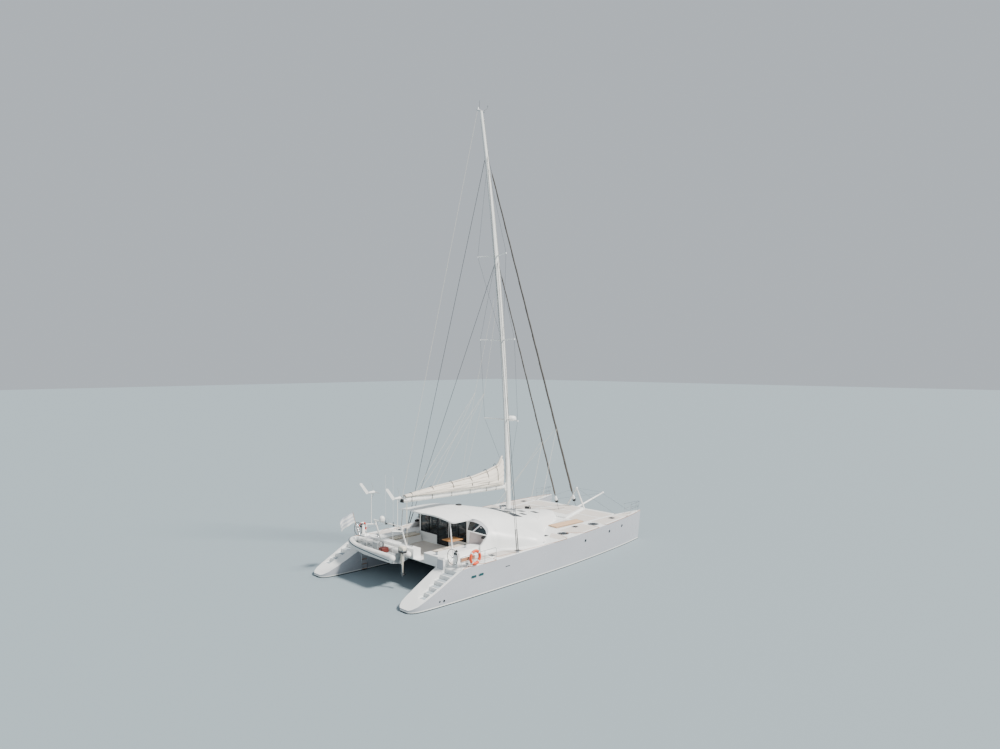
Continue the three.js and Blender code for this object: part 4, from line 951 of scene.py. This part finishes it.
own(hoop((TENDER_X, 0.86, 2.05), (math.pi / 2 - 0.35, 0, 0), 0.15, 0.013, (40, 10)), "tender_wheel",
    panel_black)
spokes = [[(TENDER_X + 0.15 * math.cos(t), 0.86 + 0.05 * math.sin(t), 2.05 + 0.14 * math.sin(t)),
           (TENDER_X, 0.9, 2.05)] for t in (0.5, 2.6, 4.7)]
tube("tender_wheel_spokes", spokes, 0.008, steel)
lines = [[(TENDER_X + side * 0.7, y0 + (y1 - y0) * k / 8, 1.79 + 0.03 * abs(1 - k / 4)) for k in range(9)]
         for side in (-1, 1) for y0, y1 in [(-0.5, 0.3), (0.3, 1.1), (1.1, 1.9), (1.9, 2.6)]]
tube("tender_grab_lines", lines, 0.006, rope, sides=1)


# Outboard motor: a cream cowling over a grey leg, on a bracket that lets it steer, with a
# dark band where the cowling meets the leg.
cowling = finish("cream_cowling_paint", ("#E6E1D1", "#DAD4C2"), 200, 10, 0.1, (0.25, 0.4))
leg_grey = finish("grey_alloy_paint", ("#6F767A", "#62696D"), 120, 5, 0.2, (0.4, 0.55))
motor = skin_of("outboard_motor", leg_grey, 30, "outboard")
paint_faces(motor, cowling, lambda centre, normal: 1.3 < centre.z < 1.96 and centre.y < -0.98)
block("outboard_cowling", (-8.19, -1.32, 2.03), (-7.87, -0.915, 2.315), 0.085, cowling, "outboard")
block("outboard_band", (-8.195, -1.31, 1.955), (-7.865, -0.912, 2.06), 0.03, panel_black,
      "outboard")
skin_of("outboard_propeller", panel_black, 45, "outboard_propeller")


# Boarding ladder: bent stainless tube with five rungs and teak treads, hinged on the inner
# side of the port hull so that it swings up clear of the water.
RUNG_HEIGHTS = [-0.19 + 0.29 * i for i in range(5)]
rails = [[at(x, 3.15, 1.2), at(x, 3.15, -0.25)] for x in (2.4, 2.8)]
rungs = [[at(2.4, 3.15, z), at(2.8, 3.15, z)] for z in RUNG_HEIGHTS]
tube("ladder_tubes", rails + rungs + [[at(2.38, 3.15, 1.2), at(2.82, 3.15, 1.2)]], 0.0155, steel,
     "boarding_ladder", node="boarding_ladder")
steps = [rounded(at(2.43, 3.125, z + 0.012), at(2.77, 3.175, z + 0.022), 0.004) for z in RUNG_HEIGHTS[:4]]
joined("ladder_treads", steps, teak, "boarding_ladder")
skin_of("ladder_hinge", steel, 30)


# Front crossbeam, striker and bowsprit: painted alloy tubes that take the pull of the
# headstays, with stainless wire from the striker's head to both bows.
for node in ("front_crossbeam", "striker_frame", "bowsprit"):
    skin_of(node, spar_paint, 50)
wire = finish("stainless_wire", ("#8C9093", "#7D8184"), 60, 3, 0.3, (0.3, 0.45), 1.0)
apex, sprit_end = at(18.7, 0, 3.23), at(21.8, 0, 2.44)
tube("striker_wires", [[apex, at(18.55, side * 3.5, 1.9)] for side in SIDES.values()]
     + [[apex, at(21.8, 0, 2.5)]] + [[sprit_end, at(20.3, side * 4.0, 1.6)] for side in SIDES.values()],
     0.006, wire, sides=1)


# Quarter windows: dark glass bonded in behind the swept rim of the coachroof on each side of
# the cockpit, under a grey headlining, with one slanted mullion and a light sill.
def swept(points, t):
    """A place on a curve pulled from its first point to its last by the one between"""
    a, b, c = points
    return tuple(p * (1 - t) ** 2 + 2 * q * t * (1 - t) + r * t * t for p, q, r in zip(a, b, c))


grey_lining = finish("grey_headlining", ("#BEC0C5", "#B1B3B9"), 300, 5, 0.4, (0.6, 0.75))
# Rose grey on the outboard ends of the white bulkhead moulding, below the quarter windows: painted shade.
shaded_recess_paint = finish("rose_grey_painted_shade", ("#CFC4C3", "#C2B6B5"), 260, 4, 0.4, (0.6, 0.75))
paint_faces(bulkhead, shaded_recess_paint, lambda centre, normal: abs(centre.y) > 2.22 and centre.z < 2.8
            and centre.x < -3.1)
RIM = [((6.58, 2.48), (6.64, 2.535), (6.7, 2.59)), ((6.7, 2.59), (6.96, 2.83), (6.66, 3.115)),
       ((6.66, 3.115), (6.38, 3.37), (6.03, 3.42))]
GLASS_HEIGHTS = (0.0, 0.22, 0.48, 0.74, 1.0)
quarter_glass, quarter_bands, quarter_bars, sills = [], [], [], []
for side in SIDES.values():
    rim = []
    for x, z in [swept(curve, k / 8) for curve in RIM for k in range(9)]:
        hit = roof_tree.ray_cast(at(x + 0.03, side * 8, z + 0.02), Vector((0, -side, 0)))[0]
        rim.append(at(x, hit.y - side * 0.015, z))
    outward = Vector((-0.74, side * 0.673, 0)) * 0.09
    rows = []
    for k, top in enumerate(rim):
        base = rim[0].lerp(at(6.02, side * 2.12, 2.7), k / (len(rim) - 1))
        rows.append([top.lerp(base, s) + outward * min(1, s / GLASS_HEIGHTS[1]) for s in GLASS_HEIGHTS])
    for made, first, last, thick in [(quarter_bands, 0, 1, 0.03), (quarter_glass, 1, 4, 0.012)]:
        sheet = bmesh.new()
        bridged(sheet, [[sheet.verts.new(p) for p in row[first:last + 1]] for row in rows[1:]][::side])
        made.append(moulded("quarter", sheet))
        modify(made[-1], "SOLIDIFY", thickness=thick, offset=0)
        shade()
    quarter_bars.append([rows[17][1], rows[19][4]])
    sills.append([rows[0][4], rows[-1][4]])
joined("quarter_window_glass", quarter_glass, clear_dark)
joined("quarter_window_bands", quarter_bands, grey_lining)
tube("quarter_window_mullions", quarter_bars, 0.038, grey_lining)
tube("quarter_window_sills", sills, 0.03, deck_gelcoat)
joined("coaming_instrument_pods", [rounded(at(6.33, side * 2.93, 2.3), at(6.55, side * 3.15, 2.42), 0.03)
                                   for side in SIDES.values()], rubber)


# Mast: a painted alloy extrusion that bends slightly aft, stepped on the coachroof, with a
# sail track up its after face, three pairs of swept spreaders and a plate at the masthead.
MAST_STEP = (11.6, 2.7)


def mast_x(z):
    """How far forward of the transoms the middle of the mast is, at a height"""
    return MAST_STEP[0] - 0.019 * (z - MAST_STEP[1]) - 0.0031 * (z - MAST_STEP[1]) ** 2


def mast_side(z, forward, out):
    """A place on the mast's skin, by parts of its half depth and its half width"""
    taper = 1 - 0.35 * max(0, (z - 18.8) / 9.27)
    return at(mast_x(z) + 0.185 * taper * forward, 0.12 * taper * out, z)


skin_of("mast", spar_paint, 40)
tube("mast_track", [[mast_side(4.75 + 0.6 * i, -1.04, 0) for i in range(39)]], 0.016, anodised,
     sides=1)
collar_z = top_of([roof_tree], at(MAST_STEP[0], 0.5))[0].z
collar = dish(0.3, [(1, 0), (1, 0.02), (0.88, 0.04), (0.84, 0.12), (0.6, 0.14)], 32)
own(moved(collar, at(MAST_STEP[0], 0, collar_z - 0.005)), "mast_collar", anodised)
sheaves = [rounded(at(mast_x(z) + 0.11, y - 0.03, z - 0.14), at(mast_x(z) + 0.24, y + 0.03, z + 0.14), 0.012)
           for z, y in [(25.6, 0.0), (19.1, 0.0), (27.5, 0.04), (15.0, 0.05)]]
joined("mast_sheave_boxes", sheaves, anodised)
top_x = mast_x(28.05)
block("masthead_plate", at(top_x - 0.34, -0.05, 28.03), at(top_x + 0.3, 0.05, 28.12), 0.015, anodised)
tube("masthead_wands", [[at(top_x - 0.1, 0.03, 28.1), at(top_x - 0.1, 0.03, 28.72)],
     [at(top_x + 0.2, -0.03, 28.1), at(top_x + 0.5, -0.03, 28.34), at(top_x + 0.56, -0.03, 28.52)],
     [at(top_x + 0.43, -0.14, 28.5), at(top_x + 0.7, 0.08, 28.52)]], 0.007, rubber, sides=1)
lamp = dish(0.05, [(1, 0), (1, 0.03), (0.8, 0.04), (0.8, 0.1), (0.5, 0.13)], 20)
own(moved(lamp, at(top_x - 0.24, 0, 28.115)), "anchor_light", deck_gelcoat)
low, high = (Vector(corner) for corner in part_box("radar_dome"))
dome = dish((high.y - low.y) / 2, [(0.5, -1), (0.9, -0.92), (1, -0.6), (1, 0.05), (0.96, 0.4), (0.82, 0.75),
                                   (0.55, 0.93), (0.25, 1)], 40)
dome.data.transform(Matrix.Diagonal((1, 1, (high.z - low.z) / 2, 1)))
own(moved(dome, (low + high) / 2), "radar_dome_cover", deck_gelcoat, node="radar_dome")


# Standing rigging: stainless wire from chainplates on the hulls to the mast, on dark-sleeved
# turnbuckles, and diamond wires that run over the spreader tips. Its dark grey is painted shade, for how it
# looks against the sky.
# Dark grey finish: painted shade, for wire seen against the sky.
dark_wire = finish("dark_wire_painted_shade", ("#3A3D40", "#2F3235"), 60, 3, 0.3, (0.5, 0.65), 0.3)
TIPS = [(8.6, 1.5, 0.5), (13.74, 1.54, 0.48), (19.1, 1.28, 0.4)]
screws, plates, diamonds, boots = [], [], [], []
for name, side in SIDES.items():
    for kind, foot_x, head_z in [("cap", 7.2, 25.3), ("lower", 7.32, 18.8)]:
        foot_at = top_of([hull_trees[name]], at(foot_x, side * 4.92))[0]
        head = at(mast_x(head_z), side * 0.08, head_z)
        run = (head - foot_at).normalized()
        tube(f"{kind}_shroud_wire_{name}", [[foot_at + run * 0.3, head]], 0.014, dark_wire,
             sides=1, node=f"{kind}_shroud_{name}")
        screws.append([foot_at + run * 0.06, foot_at + run * 1.3])
        plates.append(rounded(foot_at - Vector((0.045, 0.012, 0.01)),
                              foot_at + Vector((0.045, 0.012, 0.11)), 0.008))
    tips = [at(mast_x(z) - sweep, side * half, z + 0.06) for z, half, sweep in TIPS]
    diamonds += [[mast_side(4.9, 0, side), tips[0], tips[1], mast_side(18.8, 0, side)],
                 [mast_side(14.0, 0, side), tips[2], mast_side(24.5, 0, side)]]
    boots += [moved(dish(0.045, [(1, -0.05), (1.1, 0), (0.9, 0.05)], 16), tip - Vector((0, 0, 0.03)))
              for tip in tips]
tube("turnbuckles", screws, 0.028, dark_wire)
joined("chainplates", plates, steel)
tube("diamond_wires", diamonds, 0.0065, dark_wire, sides=1)
joined("spreader_boots", boots, deck_gelcoat)


# Running rigging: braided polyester. Halyards lie along the mast, the topping lift and lazy
# lines hold the boom and the dropped sail, and the mainsheet runs to the after coaming.
halyards = [[mast_side(27.6 - 1.2 * i, forward, out) for i in range(20)]
            + [at(11.65 + 0.1 * forward, 0.62 * out / 1.25, collar_z + 0.18)]
            for forward, out in [(0.7, 1.25), (0.45, -1.25), (1.1, 0.35)]]
tube("halyards", halyards, 0.008, rope, sides=1)
BOOM_TIP = 2.94


def boom_low(x):
    """The height of the boom's underside"""
    return 4.17 + 0.25 * (11.27 - x) / 8.33


def crossing(name, runs, radius):
    """Taut rope between the boat and the boom, in many short straight lengths, on no body"""
    fine = [[a.lerp(b, k / 24) for a, b in zip(run, run[1:]) for k in range(25 if b is run[-1] else 24)]
            for run in runs]
    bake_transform(tube(name, fine, radius, rope, None, sides=1))


lift_top, lift_foot = at(top_x - 0.3, 0, 28.03), at(BOOM_TIP + 0.06, 0, boom_low(BOOM_TIP) + 0.31)
crossing("topping_lift", [[lift_top, lift_foot]], 0.008)
lazy = []
for side in (1, -1):
    ring = at(9.0, side * 0.42, 10.4)
    lazy.append([at(mast_x(17) - 0.1, side * 0.13, 17.0), ring])
    lazy += [[ring, at(x, side * 0.13, boom_low(x) + 0.2)] for x in (3.82, 5.0, 7.4)]
crossing("lazy_lines", lazy, 0.006)
tackle_foot = top_of([bridge_tree], at(3.34, 0.0))[0] + Vector((0, 0, 0.05))
tackle_head = at(3.3, 0, boom_low(3.3))
parts = [[tackle_foot + Vector((0.03, 0.05, 0)) * way, tackle_head + Vector((0.04, 0, 0)) * way]
         for way in (-1, 0, 1)]
crossing("mainsheet", parts, 0.008)
block("mainsheet_traveller", tackle_foot - Vector((0.04, 0.5, 0.052)),
      tackle_foot + Vector((0.04, 0.5, 0.01)), 0.01, anodised)


# Boom: a deep white alloy box with a black end cap and a sleeve on the gooseneck pin, and the
# outhaul and reef lines along its underside.
soften(skin_of("boom", spar_paint, 40, "boom"), 0.012, segments=2)
block("boom_end_cap", at(BOOM_TIP - 0.03, -0.118, boom_low(BOOM_TIP) - 0.006),
      at(BOOM_TIP + 0.1, 0.118, boom_low(BOOM_TIP) + 0.292), 0.03, rubber, "boom")
tube("outhaul_and_reef_lines", [[at(x, y, boom_low(x) - 0.012) for x in (11.0, 3.1)] for y in (-0.05, 0.05)],
     0.007, rope, "boom", sides=1)


# Mainsail: cream woven laminate dropped between the lazy lines and flaked from side to side on
# the boom in 22 layers, highest by the mast, and tied down with webbing.
sailcloth = finish("cream_sail_laminate", ("#EFE8DC", "#E2D8CA"), 420, 8, 0.5, (0.7, 0.85),
                   stretch=(0.25, 1, 3))
drum_black = finish("black_drum_moulding", ("#1B1C1E", "#27282B"), 60, 5, 0.2, (0.4, 0.55))
# Each row is a place along the boom, with the stack's height and half its width there
STACK = [(11.05, 2.0, 0.09), (10.95, 2.02, 0.19), (10.55, 1.42, 0.28), (9.7, 1.1, 0.31), (8.5, 0.82, 0.31),
         (7.0, 0.63, 0.28), (5.3, 0.45, 0.24), (4.0, 0.25, 0.19), (3.15, 0.11, 0.11)]
# Each row is a share of the stack's height, with the share of its half width there
BULGE = [(0.0, 0.5), (0.12, 0.82), (0.3, 1.0), (0.68, 0.8), (0.97, 0.26), (1.0, 0.2)]
LAYERS = 22


def between(table, x, column):
    """A value read off a short table of rows, by its first column"""
    rows = sorted(table)
    x = min(max(x, rows[0][0]), rows[-1][0])
    for a, b in zip(rows, rows[1:]):
        if x <= b[0]:
            return a[column] + (b[column] - a[column]) * (x - a[0]) / (b[0] - a[0])


def fold(x, layer, way, out):
    """A place on one side of the stack, at a height counted in layers"""
    high, half = between(STACK, x, 1), between(STACK, x, 2)
    share = min(max((layer + 0.5) / LAYERS, 0), 1)
    drift = 0.03 * noise.noise(Vector((x * 1.1, 3.0, 0)))
    swell = 1 + 0.3 * noise.noise(Vector((x * 0.9, layer * 0.22, 2.0 * way)))
    lift = 0.03 * high * noise.noise(Vector((x * 0.7, layer * 0.15, 9.0)))
    return at(x, way * (half * between(BULGE, share, 1) * swell + out) + drift,
              boom_low(x) + 0.297 + high * 0.94 / LAYERS * layer + lift)


folds = bmesh.new()
stations = []
for x in [11.04 - 7.88 * i / 120 for i in range(121)]:
    rise = 0.25 * between(STACK, x, 1) * 0.94 / LAYERS
    section = []
    for layer in range(LAYERS):
        way = 1 if layer % 2 else -1
        start, end = fold(x, layer, -way, 0), fold(x, layer, way, 0)
        section += [start.lerp(end, u) + Vector((0, 0, rise * math.sin(math.pi * u)))
                    for u in (0, 0.12, 0.3, 0.5, 0.7, 0.88, 1)]
        if layer % 4 > 1:
            hang = min(layer + 0.8, 3.6 * (1 + 0.8 * noise.noise(Vector((x * 0.75, layer * 3.1, 4.0)))))
            section += [fold(x, layer - hang * part, way, out) for part, out in
                        [(0.35, 0.01), (0.75, 0.012), (1.0, 0.018), (1.03, 0.03), (0.95, 0.042), (0.6, 0.05),
                         (0.25, 0.044), (0.0, 0.026)]]
    stations.append([folds.verts.new(p) for p in section])
bridged(folds, list(zip(*stations)))
sail = moulded("flaked_mainsail", folds)
modify(sail, "SOLIDIFY", thickness=0.0025, offset=0)
bpy.ops.object.shade_smooth()
own(sail, "flaked_mainsail", sailcloth, "boom", "mainsail")
ties = []
for x in (3.6, 5.1, 6.6, 8.1, 9.5, 10.35):
    high, half, under = between(STACK, x, 1), between(STACK, x, 2), boom_low(x)
    loop = [(0.118, under + 0.02), (0.118, under + 0.26)]
    loop += [(half * between(BULGE, s, 1) * 1.12 + 0.012, under + 0.3 + high * s) for s in
             (0.05, 0.15, 0.3, 0.5, 0.68, 0.85, 0.95)]
    ring = loop + [(0.0, under + 0.31 + high)] + [(-y, z) for y, z in loop[::-1]] + loop[:1]
    ties.append([at(x, y, z) for y, z in ring])
tube("sail_ties", ties, 0.016, drum_black, "boom", sides=1)


# Headsails: both rolled tight round their stays on furling drums. What shows is the dark
# sun strip, wound in a spiral, with the sheets led from the clews to the coachroof.
sun_strip = finish("dark_sun_strip_cloth", ("#54504C", "#66605A"), 160, 6, 0.5, (0.8, 0.92))
METRES_A_TURN, ROLL_STEPS, ROLL_SIDES = 1.9, 160, 18
sheets = []
for name, foot_at, drum_z, radius, top_z, clew_part, lead_y in [
        ("outer_headsail", at(18.6, 0, 1.9), 2.47, 0.075, 25.3, 0.246, 2.1),
        ("inner_headsail", at(16.74, 0, 1.8), 2.65, 0.06, 18.8, 0.30, 1.3)]:
    head = at(mast_x(top_z) + 0.14, 0, top_z)
    run = head - foot_at
    along, across = run.normalized(), Vector((0, 1, 0))
    first, last = (drum_z + 0.26 - foot_at.z) / run.z, 1 - 0.9 / run.length
    roll = bmesh.new()
    rings = []
    for i in range(ROLL_STEPS + 1):
        t = first + (last - first) * i / ROLL_STEPS
        fade = min(1, i / 3, (ROLL_STEPS - i) / 3 + 0.25)
        rings.append([])
        for turn in angles(ROLL_SIDES)[:-1]:
            lap = ((turn / (2 * math.pi) + run.length * t / METRES_A_TURN) % 1.0) * 0.016
            reach = max((radius * (1 - 0.45 * i / ROLL_STEPS) - 0.008 + lap) * fade, 0.012)
            side_way = across * math.cos(turn) + along.cross(across) * math.sin(turn)
            rings[-1].append(roll.verts.new(foot_at + run * t + side_way * reach))
    bridged(roll, rings, around=True)
    roll.faces.new(rings[0][::-1])
    roll.faces.new(rings[-1])
    bmesh.ops.recalc_face_normals(roll, faces=roll.faces[:])
    obj = moulded(name + "_roll", roll)
    shade(50)
    own(obj, name + "_roll", sun_strip, node=name)
    tube(name + "_stay", [[foot_at, foot_at + run * first], [foot_at + run * last, head]], 0.012, dark_wire,
         sides=1)
    drum_at = foot_at + run * ((drum_z - foot_at.z) / run.z)
    drum = dish(0.13, [(0.75, -0.12), (1, -0.11), (1, -0.09), (0.62, -0.08), (0.62, 0.0), (1, 0.01),
                       (1, 0.03), (0.7, 0.045)], 32)
    own(fitted(drum, drum_at, along), name + "_drum", drum_black)
    cone = dish(0.1, [(1, 0.04), (1, 0.07), (0.86, 0.2), (0.66, 0.31), (0.5, 0.33)], 32)
    own(fitted(cone, drum_at, along), name + "_cone", deck_gelcoat)
    for side in (1, -1):
        lead = top_of([roof_tree], at(12.1, side * lead_y))[0] + Vector((0, 0, 0.03))
        sheets.append([foot_at + run * clew_part + Vector((-0.05, side * 0.06, 0)), lead])
tube("headsail_sheets", sheets, 0.0085, rope, sides=1)


# Sun pad: a long foam pad in tan cloth, loose on the deck beside the starboard hatch.
tan_cloth = finish("tan_marine_cloth", ("#DDBB9A", "#CDA987"), 200, 4, 0.5, (0.8, 0.95))
spots = [at(x, y) for x, y in [(13.02, -2.16), (15.43, -2.56), (15.30, -3.30), (12.90, -2.96)]]
centre = sum(spots, Vector()) / 4
inset = [spot + (centre - spot).normalized() * 0.02 for spot in spots]
pad = crowned(inset, 0.066, 24)
stuffed(pad, 0.014, 0.006)
pad_under = min(v.co.z for v in pad.data.vertices)
pad_low, pad_high = (Vector(corner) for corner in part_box("sun_pad"))
aft, fore = [top_of([bridge_tree, hull_trees["starboard"]], Vector((x, -2.75, 0)))[0]
             for x in (pad_low.x + 0.1, pad_high.x - 0.1)]


def deck_line(x):
    """The height of the sloping deck under the pad"""
    return aft.z + (fore.z - aft.z) * (x - aft.x) / (fore.x - aft.x) + 0.003


for vertex in pad.data.vertices:
    vertex.co.z += deck_line(vertex.co.x) - pad_under
own(pad, "sun_pad_cushion", tan_cloth, node="sun_pad")
seams = []
for lift in (0.006, 0.068):
    loop = []
    for a, b in zip(inset, inset[1:] + inset[:1]):
        for k in range(12):
            edge = a.lerp(b, k / 12)
            edge += (centre - edge).normalized() * 0.008 * math.sin(math.pi * k / 12)
            loop.append(Vector((edge.x, edge.y, deck_line(edge.x) + lift)))
    seams.append(loop + [loop[0]])
tube("sun_pad_piping", seams, 0.006, piping_cloth, sides=1)


# Windlass and deck gear: a steel gypsy and a black motor on a base plate at the front of the
# coachroof, with its chain, cleats along the decks, a roof horn and a plank on the rail.
low, high = (Vector(corner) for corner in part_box("windlass"))
middle = (low + high) / 2
block("windlass_base", low, (high.x, high.y, low.z + 0.06), 0.02, anodised, node="windlass")
block("windlass_motor", low + Vector((0.02, 0.03, 0.05)), (middle.x, high.y - 0.03, high.z - 0.03), 0.04,
      drum_black)
gypsy = dish(0.09, [(1, 0), (1, 0.03), (0.7, 0.05), (0.7, 0.07), (1, 0.09), (1, 0.11), (0.6, 0.13),
                    (0.55, 0.2), (0.75, 0.21), (0.6, 0.235)], 32)
own(moved(gypsy, (high.x - 0.1, middle.y, low.z + 0.05)), "windlass_gypsy", steel)
chain = [top_of(deck_trees, at(14.5 + 2.9 * t, 0.7 - 0.62 * t))[0] + Vector((0, 0, 0.012))
         for t in [k / 25 for k in range(26)]]
tube("anchor_chain", [chain], 0.012, dark_wire, sides=1)
cleats = []
for x, y in [(3.5, 4.7), (9.6, 4.78), (18.4, 4.55), (18.4, 3.6)]:
    for side in SIDES.values():
        spot = top_of(deck_trees, at(x, side * y))[0]
        for dx in (-0.05, 0.05):
            leg = dish(0.016, [(1.4, 0), (1, 0.012), (1, 0.05)], 12)
            cleats.append(moved(leg, spot + Vector((dx, 0, -0.002))))
        cleats.append(rounded(spot + Vector((-0.14, -0.014, 0.045)),
                              spot + Vector((0.14, 0.014, 0.07)), 0.012))
joined("mooring_cleats", cleats, steel)
horn_at = top_of([roof_tree], at(7.33, 0.1))[0]
block("roof_horn_base", horn_at - Vector((0.16, 0.12, 0.01)), horn_at + Vector((0.16, 0.12, 0.09)), 0.03,
      drum_black)
plank_z = top_of([hull_trees["starboard"]], at(3.5, -4.8))[0].z
block("boarding_plank", at(3.02, -4.872, plank_z + 0.37), at(4.05, -4.848, plank_z + 0.56), 0.008, varnish)
